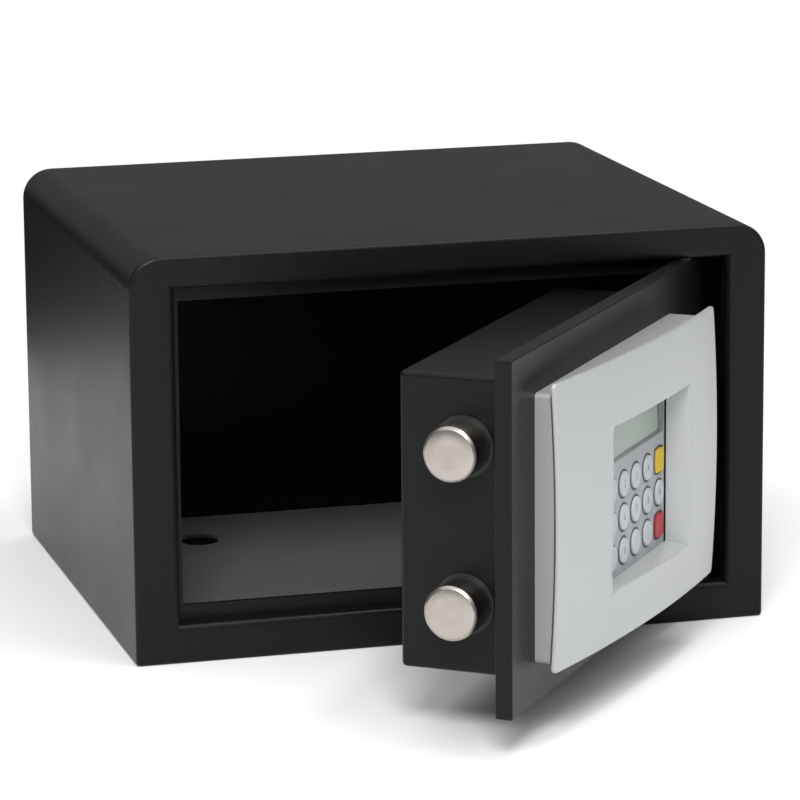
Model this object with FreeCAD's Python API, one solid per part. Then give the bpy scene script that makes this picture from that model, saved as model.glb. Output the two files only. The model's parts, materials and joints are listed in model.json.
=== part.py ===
import FreeCAD, Part
import math
import os

Vector = FreeCAD.Vector

# In-room safe: a steel cabinet with a hinged front door that carries the bolt work,
# the electronics and a moulded keypad panel.  Millimetres.  The origin is the centre of
# the cabinet's underside, the front faces -Y and the top faces +Z.

# ---- cabinet ---------------------------------------------------------------------
WIDTH = 400.0
DEPTH = 340.0
HEIGHT = 250.0
SHEET = 3.0                      # steel thickness of every cabinet wall
TOP_CORNER = 19.0                # outer radius along the two long top edges
FRONT_EDGE = 2.5                 # softening of the cabinet's outer front edges
LOWER_EDGE = 2.5                 # outer radius along the two long bottom edges

FRONT_Y = -DEPTH / 2
BACK_Y = DEPTH / 2
INNER_X = WIDTH / 2 - SHEET
INNER_TOP = HEIGHT - SHEET

# ---- door opening and its folded frame -------------------------------------------
OPENING_X = (-172.3, 175.0)
OPENING_Z = (24.0, 230.0)
FRAME_BEND = 4.0                 # outer radius of the fold around the opening
FRAME_RETURN = 12.0              # depth of the folded return wall
STOP_THICK = 3.0
STOP_RISE = 9.3                  # how far the top and bottom stops stand into the opening
STOP_FOOT = 14.0
STOP_END_X = 136.0               # the stops end here, clear of the door's hinge end
STRIKE_X = (-186.0, -168.3)
STRIKE_DEPTH = 12.9

# ---- door plate and hinge --------------------------------------------------------
PLATE_X = (-171.3, 173.8)
PLATE_Z = (25.0, 229.0)
PLATE_THICK = 10.0
PLATE_INSET = 1.5                # closed door: plate face behind the cabinet's front
PLATE_EDGE = 0.8
PIN_X = 149.0
PIN_DIA = 5.0
PIN_REACH = 12.0                 # how deep a hinge pin enters the door plate
PIN_PLAY = 0.05                  # radial clearance of the pin in the door plate
PIN_END_GAP = 0.5                # free space past the end of each pin
REST_ANGLE = 52.8                # the door stands open by this angle at rest, degrees
WASHER_DIA = 9.0
WASHER_THICK = 0.9
LUG_X = (137.0, 161.0)
LUG_DEPTH = 16.0
LUG_HEIGHT = 12.0

PLATE_FRONT_Y = FRONT_Y + PLATE_INSET
PLATE_BACK_Y = PLATE_FRONT_Y + PLATE_THICK
PIN_Y = PLATE_FRONT_Y + PLATE_THICK / 2

# ---- lock case on the back of the door -------------------------------------------
CASE_X = (-139.3, 122.7)
CASE_Z = (40.0, 212.0)
CASE_DEPTH = 69.0
CASE_WALL = 2.0
CASE_ROUND = 3.0
PILLAR_DIA = 10.0
PILLAR_INSET = 12.0
SCREW_DIA = 4.0
SCREW_HEAD_DIA = 7.6
SCREW_HEAD_HEIGHT = 1.8            # countersunk into the case's back wall
SCREW_LENGTH = 12.0
DRIVE_SHARE = 0.35               # driver recess, as a share of the screw head's diameter
DRIVE_DEPTH = 1.0

CASE_BACK_Y = PLATE_BACK_Y + CASE_DEPTH

# ---- bolt work -------------------------------------------------------------------
BOLT_DIA = 32.0
BOLT_CENTRE_Z = 126.0
BOLT_SPACING = 91.0
BOLT_BEHIND_PLATE = 30.1         # bolt axis behind the back face of the door plate
BOLT_PROUD = 23.5                # bolt standing out of the case when withdrawn
BOLT_HEAD_LENGTH = 52.0
BOLT_CHAMFER = 1.6
BOLT_NECK_DIA = 14.0
BOLT_NECK_LENGTH = 12.0
BUSH_WALL = 1.8
BUSH_PROUD = 0.8
BUSH_LENGTH = 14.0
BUSH_FLANGE_DIA = 42.0
BUSH_PLAY = 0.06                 # radial clearance of a bolt in its bush
CARRIAGE_THICK = 6.0
CARRIAGE_WIDTH = 17.0
CARRIAGE_OVERHANG = 10.0
CARRIAGE_EDGE = 2.0
CAP_SCREW_DIA = 6.0
CAP_SCREW_HEAD_DIA = 10.0
CAP_SCREW_HEAD_HEIGHT = 6.0
CAP_SCREW_LENGTH = 14.0
CAP_SCREW_SOCKET_DIA = 5.0

BOLT_Y = PLATE_BACK_Y + BOLT_BEHIND_PLATE
BOLT_Z = (BOLT_CENTRE_Z - BOLT_SPACING / 2, BOLT_CENTRE_Z + BOLT_SPACING / 2)
BOLT_TIP_X = CASE_X[0] - BOLT_PROUD
CARRIAGE_X = BOLT_TIP_X + BOLT_HEAD_LENGTH + BOLT_NECK_LENGTH

# ---- rack and pinion drive -------------------------------------------------------
MODULE = 1.0
PINION_TEETH = 18
PRESSURE_ANGLE = math.radians(20.0)
BACKLASH = 0.25
MESH_GAP = 0.1                   # the pinion stands this much further from the rack
PINION_X = -50.0
PINION_WIDTH = 8.0
FLANK_STEPS = 5                  # straight steps that make up one curved tooth flank
ADDENDUM = 1.0 * MODULE
DEDENDUM = 1.25 * MODULE
RACK_PITCH_Z = 126.0
RACK_BODY = 7.0
RACK_END_X = -24.0
GUIDE_X = (-72.0, -30.0)
GUIDE_GAP = 0.3
GUIDE_LIP = 3.0
SHAFT_DIA = 4.0
SHAFT_PLAY = 0.05
SHAFT_FRONT_END = 2.0            # shaft standing out in front of the pinion
BRACKET_GAP = 1.0                # between the pinion and its bracket
GEARBOX_CORNER = 2.0
GEARBOX_SIZE = (22.0, 12.0, 22.0)
MOTOR_DIA = 18.0
MOTOR_LENGTH = 17.0
MOTOR_EDGE = 1.0
BRACKET_THICK = 2.0
BRACKET_X = (-66.0, -34.0)
BRACKET_Z = (122.0, 160.0)
BRACKET_FOOT = 12.0

TOOTH_PITCH = math.pi * MODULE
HALF_TOOTH = (TOOTH_PITCH - BACKLASH) / 4
RACK_ROOT_Z = RACK_PITCH_Z - DEDENDUM
RACK_BOTTOM_Z = RACK_ROOT_Z - RACK_BODY
PITCH_RADIUS = MODULE * PINION_TEETH / 2
PINION_Z = RACK_PITCH_Z + PITCH_RADIUS + MESH_GAP
PINION_FRONT_Y = BOLT_Y - PINION_WIDTH / 2
PINION_BACK_Y = BOLT_Y + PINION_WIDTH / 2
BRACKET_Y = PINION_BACK_Y + BRACKET_GAP
GEARBOX_Y = BRACKET_Y + BRACKET_THICK

# ---- electronics and batteries in the case ---------------------------------------
BOARD_X = (5.0, 100.0)
BOARD_Z = (134.0, 203.0)
BOARD_THICK = 1.6
STANDOFF_HEIGHT = 8.0
STANDOFF_DIA = 6.0
STANDOFF_INSET = 5.0
STUD_PROUD = 2.0
# Blocks on the board: left, bottom, width, height and how far they stand off it.
BOARD_BLOCKS = ((30, 30, 22, 22, 2.5), (62, 14, 20, 16, 15), (12, 20, 8, 26, 7), (58, 42, 24, 6, 6))
# Round parts on the board: left, bottom, diameter and how far they stand off it.
BOARD_CANS = ((22, 10, 8, 12), (40, 12, 10, 14), (74, 54, 9, 9))
CELL_DIA = 14.5
CELL_LENGTH = 50.5
CELL_POLE_DIA = 5.5
CELL_POLE_HEIGHT = 1.0
CELL_COUNT = 4
CELL_PITCH = 15.2
CELL_GAP = 0.4
HOLDER_X = (28.0, 92.0)
HOLDER_Z = (58.0, 122.0)
HOLDER_DEPTH = 19.0
HOLDER_WALL = 1.5
CONTACT_THICK = 0.5
CONTACT_HALF = 5.0
CONTACT_CONE = (4.5, 2.5)        # radii of a contact's coil, at the wall and at the cell
FLAP_THICK = 2.0
FLAP_MARGIN = 4.0
FLAP_GAP = 0.5
FLAP_KNUCKLE_DIA = 5.0
FLAP_PIN_DIA = 2.0
FLAP_PIN_PLAY = 0.05
FLAP_KNUCKLE_LENGTH = 14.0
FLAP_KNUCKLE_GAP = 0.5
FLAP_CORNER = 3.0
FLAP_PULL_WIDTH = 16.0           # finger tab along the flap's free edge
FLAP_PULL_PROUD = 5.0
LEAF_THICK = 1.0
LEAF_DROP = 9.0

HOLDER_BACK_Y = CASE_BACK_Y - CASE_WALL
HOLDER_FRONT_Y = HOLDER_BACK_Y - HOLDER_DEPTH
CELL_Y = HOLDER_FRONT_Y + HOLDER_WALL + CELL_DIA / 2 + CELL_GAP
FLAP_PIN_Y = CASE_BACK_Y + FLAP_KNUCKLE_DIA / 2 + FLAP_GAP
FLAP_PIN_Z = HOLDER_Z[0] - FLAP_MARGIN - 1.0

# ---- keypad panel on the front of the door ---------------------------------------
# "Out" is the distance in front of the door plate's front face.
PANEL_X = (-135.8, 109.2)
PANEL_Z = (43.5, 209.5)
PANEL_CORNER = 3.0
PANEL_WALL = 2.4
PANEL_OUT_LEFT = 12.3            # front skin at the panel's two left corners
PANEL_OUT_RIGHT = 26.5           # front skin at the panel's two right corners
PILLOW_RADIUS = 1200.0           # the skin is part of one large sphere
BACKING_X = (-134.3, 107.7)
BACKING_Z = (48.0, 203.5)
BACKING_WALL = 2.5
BACKING_FLOOR = 2.0
BACKING_CORNER = 3.0
SHADOW_GAP = 1.5                 # gap between the backing's rim and the skin
BOSS_DIA = 8.0
BOSS_INSET = 14.0
PANEL_SCREW_DIA = 3.0
PANEL_SCREW_HEAD_DIA = 6.0
PANEL_SCREW_HEAD_HEIGHT = 2.4
PANEL_SCREW_LENGTH = 19.0

# The keypad well: a sloped funnel from the skin down to the key plate.
WELL_FLOOR_OUT = 16.0
WELL_X = (-62.3, 50.7)
WELL_Z = (76.5, 170.3)
WELL_SPREAD = (0.10, 0.30, 0.15, 0.14)   # left, right, bottom, top: widening per mm of rise
WELL_WALL = 2.2
WELL_TOP_OUT = 36.0

KEY_PLATE_X = (-67.3, 47.0)
KEY_PLATE_Z = (73.0, 174.3)
KEY_PLATE_THICK = 2.5
KEY_COLUMNS = 5
KEY_ROWS = 3
KEY_PITCH_X = 21.5
KEY_PITCH_Z = 19.85
KEY_CENTRE_X = -6.9
KEY_CENTRE_Z = 109.5
KEY_DIA = 15.0
KEY_CORNER = 3.0
KEY_PLAY = 0.4                   # gap around each key in the key plate
KEY_FLANGE = 1.0
KEY_FLANGE_THICK = 1.0
KEY_FLANGE_GAP = 0.3
KEY_PROUD = 1.4
KEY_STEM_DIA = 4.0
KEY_STEM_LENGTH = 2.0
KEY_DOME = 0.5                   # softening around each key's top

DISPLAY_X = (-59.3, 45.0)
DISPLAY_Z = (145.0, 169.0)
GLASS_THICK = 1.9
DISPLAY_BODY_X = (-57.3, 43.5)
DISPLAY_BODY_Z = (143.0, 168.4)
DISPLAY_BODY_OUT = (9.2, 13.4)
KEY_BOARD_OUT = (7.0, 8.6)
KEY_BOARD_X = (-67.3, 47.0)
KEY_BOARD_Z = (73.0, 174.3)
MAT_X = (-62.0, 43.0)
MAT_Z = (79.0, 140.0)
MAT_THICK = 0.5
KEY_BOSS_DIA = 5.0
KEY_BOSS_INSET = 3.2
KEY_SCREW_DIA = 2.0
KEY_SCREW_HEAD_DIA = 4.0
KEY_SCREW_HEAD_HEIGHT = 1.6
KEY_SCREW_LENGTH = 5.0

CABLE_X = 24.0
CABLE_Z = 142.0
CABLE_HOLE_DIA = 16.0
GROMMET_WALL = 1.5
GROMMET_LIP = 1.5

# ---- fixings to the building -----------------------------------------------------
ANCHOR_DIA = 10.0
ANCHOR_SPACING = 200.0
FLOOR_ANCHOR_Y = 100.0
MAT_ACCESS_DIA = 24.0

# ---- carpet mat on the cabinet's floor -------------------------------------------
CARPET_THICK = 3.0
CARPET_GAP = 3.0
CARPET_FRONT = 30.0

KEY_NAMES = (
    ("key_1", "key_2", "key_3", "key_4", "key_open"),
    ("key_5", "key_6", "key_7", "key_8", "key_9"),
    ("key_clear", "key_0", "key_code", "key_time", "key_lock"),
)
SQUARE_KEYS = ("key_open", "key_lock")

parts = {}


# ---- helpers ---------------------------------------------------------------------
def box(x, y, z):
    """Box between the two values of each axis."""
    size = (x[1] - x[0], y[1] - y[0], z[1] - z[0])
    return Part.makeBox(size[0], size[1], size[2], Vector(x[0], y[0], z[0]))


def rod(diameter, start, end):
    """Round bar between two points."""
    start = Vector(*start)
    along = Vector(*end) - start
    return Part.makeCylinder(diameter / 2, along.Length, start, along)


def joined(shapes):
    """All the shapes fused into one solid."""
    result = shapes[0]
    if len(shapes) > 1:
        result = shapes[0].multiFuse(shapes[1:]).removeSplitter()
    return result


def drilled(shape, tools):
    """The shape with every tool cut out of it."""
    return shape.cut(Part.makeCompound(tools))


def softened(shape, radius, wanted):
    """The shape with a fillet on every edge whose bounding box passes the test."""
    edges = [edge for edge in shape.Edges if wanted(edge.BoundBox)]
    return shape.makeFillet(radius, edges)


def along_y(bound):
    """True for an edge that runs along Y only."""
    return bound.YLength > 0.1 and bound.XLength < 0.01 and bound.ZLength < 0.01


def near(value, target):
    """True when two lengths are equal for every practical purpose."""
    return abs(value - target) < 0.01


def corners(x, z, inset):
    """The four points inside the corners of a rectangle seen from the front."""
    return [(px, pz) for px in (x[0] + inset, x[1] - inset) for pz in (z[0] + inset, z[1] - inset)]


def out(distance):
    """Y of a point that far in front of the closed door plate."""
    return PLATE_FRONT_Y - distance


def swung(shape):
    """The shape turned about the hinge pins from the closed door to its rest angle."""
    shape = shape.copy()
    shape.rotate(Vector(PIN_X, PIN_Y, 0), Vector(0, 0, 1), REST_ANGLE)
    return shape


def fixed(name, shape):
    """Keep a cabinet piece."""
    parts[name] = shape


def on_door(name, shape):
    """Keep a piece that swings with the door."""
    parts[name] = swung(shape)


# ---- cabinet ---------------------------------------------------------------------
def cabinet_profile(inset, y):
    """The cabinet's outline, moved inwards by the inset, between two values of Y."""
    edge_x = WIDTH / 2 - inset
    block = box((-edge_x, edge_x), y, (inset, HEIGHT - inset))
    top = HEIGHT - inset
    block = softened(block, TOP_CORNER - inset, lambda b: along_y(b) and near(b.ZMax, top))
    return block


def cabinet_wrap():
    """One sheet folded over the sides and the top."""
    y = (FRONT_Y + SHEET, BACK_Y)
    outer = cabinet_profile(0, y)
    outer = softened(outer, LOWER_EDGE, lambda b: along_y(b) and near(b.ZMax, 0))
    hollow = cabinet_profile(SHEET, y)
    below = box((-INNER_X, INNER_X), y, (0, HEIGHT / 2))
    return drilled(outer, [hollow, below])


def front_frame():
    """Front face of the cabinet, folded inwards around the door opening."""
    face = cabinet_profile(0, (FRONT_Y, FRONT_Y + SHEET))
    face = softened(face, LOWER_EDGE, lambda b: along_y(b) and near(b.ZMax, 0))
    face = softened(face, FRONT_EDGE, lambda b: near(b.YMin, FRONT_Y) and near(b.YMax, FRONT_Y))
    depth = (FRONT_Y + SHEET, FRONT_Y + FRAME_RETURN)
    collar_x = (OPENING_X[0] - SHEET, OPENING_X[1] + SHEET)
    collar_z = (OPENING_Z[0] - SHEET, OPENING_Z[1] + SHEET)
    collar = box(collar_x, depth, collar_z)
    whole = joined([face, collar])
    whole = whole.cut(box(OPENING_X, (FRONT_Y, FRONT_Y + FRAME_RETURN), OPENING_Z))
    inside_x = (OPENING_X[0] - 0.1, OPENING_X[1] + 0.1)

    def rim(bound):
        flat = near(bound.YMin, FRONT_Y) and near(bound.YMax, FRONT_Y)
        return flat and bound.XMin > inside_x[0] and bound.XMax < inside_x[1]

    whole = softened(whole, FRAME_BEND, rim)
    pins = rod(PIN_DIA, (PIN_X, PIN_Y, LUG_HEIGHT), (PIN_X, PIN_Y, INNER_TOP))
    return whole.cut(pins)


def floor_plate():
    """Bottom sheet with two anchor holes."""
    plate = box((-INNER_X, INNER_X), (FRONT_Y + SHEET, BACK_Y - SHEET), (0, SHEET))
    holes = []
    for x in (-ANCHOR_SPACING / 2, ANCHOR_SPACING / 2):
        holes.append(rod(ANCHOR_DIA, (x, FLOOR_ANCHOR_Y, 0), (x, FLOOR_ANCHOR_Y, SHEET)))
    return drilled(plate, holes)


def back_plate():
    """Rear sheet, let into the wrap."""
    y = (BACK_Y - SHEET, BACK_Y)
    sheet = cabinet_profile(SHEET, y)
    return joined([sheet, box((-INNER_X, INNER_X), y, (0, HEIGHT / 2))])


def strike_bar():
    """Bar beside the opening that the bolts catch behind."""
    y = (FRONT_Y + FRAME_RETURN, FRONT_Y + FRAME_RETURN + STRIKE_DEPTH)
    return box(STRIKE_X, y, (OPENING_Z[0] - SHEET, OPENING_Z[1] + SHEET))


def door_stops():
    """Two angles behind the frame, above and below the door."""
    x = (STRIKE_X[1], STOP_END_X)
    y = FRONT_Y + FRAME_RETURN
    angles = []
    for edge, inwards in ((OPENING_Z[0], 1), (OPENING_Z[1], -1)):
        outside = edge - inwards * SHEET
        tip = edge + inwards * STOP_RISE
        upright = box(x, (y, y + STOP_THICK), sorted((outside, tip)))
        foot = box(x, (y, y + STOP_FOOT), sorted((outside, edge)))
        angles.append(joined([upright, foot]))
    return Part.makeCompound(angles)


def hinge_lugs():
    """Two blocks welded behind the frame that hold the hinge pins."""
    y = (FRONT_Y + SHEET, FRONT_Y + SHEET + LUG_DEPTH)
    blocks = []
    for z in (lower_lug_z(), upper_lug_z()):
        block = box(LUG_X, y, z)
        blocks.append(block.cut(rod(PIN_DIA, (PIN_X, PIN_Y, z[0]), (PIN_X, PIN_Y, z[1]))))
    return Part.makeCompound(blocks)


def lower_lug_z():
    """Height range of the lower hinge lug."""
    top = OPENING_Z[0] - SHEET
    return (top - LUG_HEIGHT, top)


def upper_lug_z():
    """Height range of the upper hinge lug."""
    bottom = OPENING_Z[1] + SHEET
    return (bottom, bottom + LUG_HEIGHT)


def hinge_pins():
    """Two plain pins, pressed into the lugs, that enter the door plate end on."""
    low = rod(PIN_DIA, (PIN_X, PIN_Y, lower_lug_z()[0]), (PIN_X, PIN_Y, PLATE_Z[0] + PIN_REACH))
    high = rod(PIN_DIA, (PIN_X, PIN_Y, PLATE_Z[1] - PIN_REACH), (PIN_X, PIN_Y, upper_lug_z()[1]))
    return Part.makeCompound([low, high])


def hinge_washers():
    """Nylon washers above and below the door plate."""
    rings = []
    for z in ((OPENING_Z[0], OPENING_Z[0] + WASHER_THICK), (OPENING_Z[1] - WASHER_THICK, OPENING_Z[1])):
        ring = rod(WASHER_DIA, (PIN_X, PIN_Y, z[0]), (PIN_X, PIN_Y, z[1]))
        rings.append(ring.cut(rod(PIN_DIA, (PIN_X, PIN_Y, z[0]), (PIN_X, PIN_Y, z[1]))))
    return Part.makeCompound(rings)


def floor_mat():
    """Carpet mat on the cabinet's floor, punched over the anchor holes."""
    x = (-INNER_X + CARPET_GAP, INNER_X - CARPET_GAP)
    y = (FRONT_Y + CARPET_FRONT, BACK_Y - SHEET - CARPET_GAP)
    mat = box(x, y, (SHEET, SHEET + CARPET_THICK))
    holes = []
    for hole_x in (-ANCHOR_SPACING / 2, ANCHOR_SPACING / 2):
        start = (hole_x, FLOOR_ANCHOR_Y, SHEET)
        end = (hole_x, FLOOR_ANCHOR_Y, SHEET + CARPET_THICK)
        holes.append(rod(MAT_ACCESS_DIA, start, end))
    return drilled(mat, holes)


# ---- door plate and lock case ----------------------------------------------------
def panel_screw_points():
    """Centres of the screws that hold the keypad panel."""
    return corners(BACKING_X, BACKING_Z, BOSS_INSET)


def pillar_points():
    """Centres of the pillars that hold the lock case."""
    return corners(CASE_X, CASE_Z, PILLAR_INSET)


def door_plate():
    """Thick steel plate with blind holes for the hinge pins."""
    plate = box(PLATE_X, (PLATE_FRONT_Y, PLATE_BACK_Y), PLATE_Z)
    plate = plate.makeFillet(PLATE_EDGE, plate.Edges)
    bore = PIN_DIA + 2 * PIN_PLAY
    depth = PIN_REACH + PIN_END_GAP
    holes = [
        rod(bore, (PIN_X, PIN_Y, PLATE_Z[0]), (PIN_X, PIN_Y, PLATE_Z[0] + depth)),
        rod(bore, (PIN_X, PIN_Y, PLATE_Z[1] - depth), (PIN_X, PIN_Y, PLATE_Z[1])),
        rod(CABLE_HOLE_DIA, (CABLE_X, PLATE_FRONT_Y, CABLE_Z), (CABLE_X, PLATE_BACK_Y, CABLE_Z)),
    ]
    for x, z in panel_screw_points():
        holes.append(rod(PANEL_SCREW_DIA, (x, PLATE_FRONT_Y, z), (x, PLATE_BACK_Y, z)))
    return drilled(plate, holes)


def lock_case():
    """Deep steel cover over the bolt work, with soft edges."""
    y = (PLATE_BACK_Y, CASE_BACK_Y)
    case = box(CASE_X, y, CASE_Z)
    case = softened(case, CASE_ROUND, lambda b: b.YMax > PLATE_BACK_Y + 0.01)
    x = (CASE_X[0] + CASE_WALL, CASE_X[1] - CASE_WALL)
    z = (CASE_Z[0] + CASE_WALL, CASE_Z[1] - CASE_WALL)
    hollow = box(x, (y[0], y[1] - CASE_WALL), z)
    hollow = softened(hollow, CASE_ROUND - CASE_WALL, lambda b: b.YMax > PLATE_BACK_Y + 0.01)
    tools = [hollow]
    for bolt_z in BOLT_Z:
        start = (CASE_X[0], BOLT_Y, bolt_z)
        end = (CASE_X[0] + CASE_WALL, BOLT_Y, bolt_z)
        tools.append(rod(BOLT_DIA + 2 * BUSH_WALL, start, end))
    for screw_x, screw_z in pillar_points():
        start = (screw_x, y[1] - CASE_WALL, screw_z)
        tools.append(rod(SCREW_DIA, start, (screw_x, y[1], screw_z)))
        tools.append(screw_cone(screw_x, screw_z))
    tools.append(box(HOLDER_X, (y[1] - CASE_WALL, y[1]), HOLDER_Z))
    return drilled(case, tools)


def case_pillars():
    """Four pillars from the door plate to the back wall of the case."""
    pillars = []
    end_y = CASE_BACK_Y - CASE_WALL
    for x, z in pillar_points():
        pillar = rod(PILLAR_DIA, (x, PLATE_BACK_Y, z), (x, end_y, z))
        bore = rod(SCREW_DIA, (x, end_y - SCREW_LENGTH + CASE_WALL, z), (x, end_y, z))
        pillars.append(pillar.cut(bore))
    return Part.makeCompound(pillars)


def pan_screw(x, y, z, size, direction):
    """Round-headed screw whose head starts at y; direction is the way its tip points."""
    diameter, length, head_diameter, head_height = size
    head = rod(head_diameter, (x, y - direction * head_height, z), (x, y, z))
    top = y - direction * head_height
    head = softened(head, head_height / 2, lambda b: near(b.YMin, top) and near(b.YMax, top))
    shank = rod(diameter, (x, y, z), (x, y + direction * length, z))
    drive_tip = top + direction * DRIVE_DEPTH
    drive = rod(head_diameter * DRIVE_SHARE, (x, top, z), (x, drive_tip, z))
    return joined([head, shank]).cut(drive)


def screw_cone(x, z):
    """Countersunk head of one case screw, flush with the case's back."""
    start = Vector(x, CASE_BACK_Y - SCREW_HEAD_HEIGHT, z)
    return Part.makeCone(SCREW_DIA / 2, SCREW_HEAD_DIA / 2, SCREW_HEAD_HEIGHT, start, Vector(0, 1, 0))


def case_screws():
    """Four countersunk screws through the back wall of the case into its pillars."""
    screws = []
    for x, z in pillar_points():
        tip = (x, CASE_BACK_Y - SCREW_LENGTH, z)
        shank = rod(SCREW_DIA, tip, (x, CASE_BACK_Y - SCREW_HEAD_HEIGHT, z))
        drive_start = (x, CASE_BACK_Y - DRIVE_DEPTH, z)
        drive = rod(SCREW_HEAD_DIA * DRIVE_SHARE, drive_start, (x, CASE_BACK_Y, z))
        screws.append(joined([screw_cone(x, z), shank]).cut(drive))
    return Part.makeCompound(screws)


# ---- bolt work -------------------------------------------------------------------
def locking_bolt(z):
    """Round steel bolt with a chamfered nose and a necked tail."""
    nose_end = BOLT_TIP_X + BOLT_HEAD_LENGTH
    head = rod(BOLT_DIA, (BOLT_TIP_X, BOLT_Y, z), (nose_end, BOLT_Y, z))
    tip_edges = [edge for edge in head.Edges if near(edge.BoundBox.XMax, BOLT_TIP_X)]
    head = head.makeChamfer(BOLT_CHAMFER, tip_edges)
    neck = rod(BOLT_NECK_DIA, (nose_end, BOLT_Y, z), (CARRIAGE_X, BOLT_Y, z))
    thread_start = CARRIAGE_X + CARRIAGE_THICK - CAP_SCREW_LENGTH
    thread = rod(CAP_SCREW_DIA, (thread_start, BOLT_Y, z), (CARRIAGE_X, BOLT_Y, z))
    return joined([head, neck]).cut(thread)


def bolt_bushes():
    """Two flanged nylon bushes in the side wall of the case."""
    bushes = []
    outside = CASE_X[0] - BUSH_PROUD
    inside = CASE_X[0] + CASE_WALL
    for z in BOLT_Z:
        sleeve = rod(BOLT_DIA + 2 * BUSH_WALL, (outside, BOLT_Y, z), (outside + BUSH_LENGTH, BOLT_Y, z))
        flange = rod(BUSH_FLANGE_DIA, (inside, BOLT_Y, z), (inside + CASE_WALL, BOLT_Y, z))
        bore_end = outside + BUSH_LENGTH
        bore = rod(BOLT_DIA + 2 * BUSH_PLAY, (outside, BOLT_Y, z), (bore_end, BOLT_Y, z))
        bushes.append(joined([sleeve, flange]).cut(bore))
    return Part.makeCompound(bushes)


def bolt_carriage():
    """Bar that ties the two bolts together."""
    x = (CARRIAGE_X, CARRIAGE_X + CARRIAGE_THICK)
    y = (BOLT_Y - CARRIAGE_WIDTH / 2, BOLT_Y + CARRIAGE_WIDTH / 2)
    z = (BOLT_Z[0] - CARRIAGE_OVERHANG, BOLT_Z[1] + CARRIAGE_OVERHANG)
    bar = box(x, y, z)
    bar = softened(bar, CARRIAGE_EDGE, lambda b: b.XLength > 1)
    return drilled(bar, [rod(CAP_SCREW_DIA, (x[0], BOLT_Y, bz), (x[1], BOLT_Y, bz)) for bz in BOLT_Z])


def carriage_screws():
    """Cap screws that hold the bolts to the carriage."""
    screws = []
    start = CARRIAGE_X + CARRIAGE_THICK
    for z in BOLT_Z:
        end = start + CAP_SCREW_HEAD_HEIGHT
        head = rod(CAP_SCREW_HEAD_DIA, (start, BOLT_Y, z), (end, BOLT_Y, z))
        shank = rod(CAP_SCREW_DIA, (start - CAP_SCREW_LENGTH, BOLT_Y, z), (start, BOLT_Y, z))
        socket_start = end - CAP_SCREW_HEAD_HEIGHT / 2
        socket = rod(CAP_SCREW_SOCKET_DIA, (socket_start, BOLT_Y, z), (end, BOLT_Y, z))
        screws.append(joined([head, shank]).cut(socket))
    return Part.makeCompound(screws)


# ---- rack and pinion -------------------------------------------------------------
def involute(angle):
    """The involute function."""
    return math.tan(angle) - angle


def pinion_outline():
    """Points of the pinion's teeth about its axis, with a gap pointing straight down."""
    base = PITCH_RADIUS * math.cos(PRESSURE_ANGLE)
    root = PITCH_RADIUS - DEDENDUM
    tip = PITCH_RADIUS + ADDENDUM
    half_tooth = HALF_TOOTH / PITCH_RADIUS
    flank = []
    for step in range(FLANK_STEPS + 1):
        radius = base + (tip - base) * step / FLANK_STEPS
        roll = math.acos(base / radius)
        flank.append((radius, half_tooth + involute(PRESSURE_ANGLE) - involute(roll)))
    flank.insert(0, (root, flank[0][1]))
    points = []
    tooth_angle = 2 * math.pi / PINION_TEETH
    for tooth in range(PINION_TEETH):
        middle = -math.pi / 2 + (tooth + 0.5) * tooth_angle
        for radius, half in flank:
            points.append((radius, middle - half))
        for radius, half in reversed(flank):
            points.append((radius, middle + half))
    return [(radius * math.cos(angle), radius * math.sin(angle)) for radius, angle in points]


def extruded_along_y(outline, y):
    """Closed outline of (x, z) points between two values of Y."""
    points = [Vector(x, y[0], z) for x, z in outline]
    points.append(points[0])
    return Part.Face(Part.makePolygon(points)).extrude(Vector(0, y[1] - y[0], 0))


def drive_pinion():
    """Brass pinion pressed on the gear motor's shaft."""
    outline = [(PINION_X + x, PINION_Z + z) for x, z in pinion_outline()]
    wheel = extruded_along_y(outline, (PINION_FRONT_Y, PINION_BACK_Y))
    bore = rod(SHAFT_DIA, (PINION_X, PINION_FRONT_Y, PINION_Z), (PINION_X, PINION_BACK_Y, PINION_Z))
    return wheel.cut(bore)


def pinion_shaft():
    """Output shaft of the gear motor."""
    start = (PINION_X, PINION_FRONT_Y - SHAFT_FRONT_END, PINION_Z)
    end = (PINION_X, GEARBOX_Y + GEARBOX_SIZE[1] / 2, PINION_Z)
    return rod(SHAFT_DIA, start, end)


def rack_teeth(start_x, end_x):
    """Top outline of the rack from left to right."""
    half_top = HALF_TOOTH - ADDENDUM * math.tan(PRESSURE_ANGLE)
    half_root = HALF_TOOTH + DEDENDUM * math.tan(PRESSURE_ANGLE)
    first = math.ceil((start_x + TOOTH_PITCH / 2 - PINION_X) / TOOTH_PITCH)
    last = math.floor((end_x - TOOTH_PITCH / 2 - PINION_X) / TOOTH_PITCH)
    outline = []
    for tooth in range(first, last + 1):
        middle = PINION_X + tooth * TOOTH_PITCH
        outline.append((middle - half_root, RACK_ROOT_Z))
        outline.append((middle - half_top, RACK_PITCH_Z + ADDENDUM))
        outline.append((middle + half_top, RACK_PITCH_Z + ADDENDUM))
        outline.append((middle + half_root, RACK_ROOT_Z))
    return outline


def drive_rack():
    """Toothed bar fixed to the carriage."""
    start_x = CARRIAGE_X + CARRIAGE_THICK
    outline = [(start_x, RACK_BOTTOM_Z), (start_x, RACK_ROOT_Z)]
    outline += rack_teeth(start_x + MODULE, RACK_END_X)
    outline += [(RACK_END_X, RACK_ROOT_Z), (RACK_END_X, RACK_BOTTOM_Z)]
    return extruded_along_y(outline, (PINION_FRONT_Y, PINION_BACK_Y))


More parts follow.
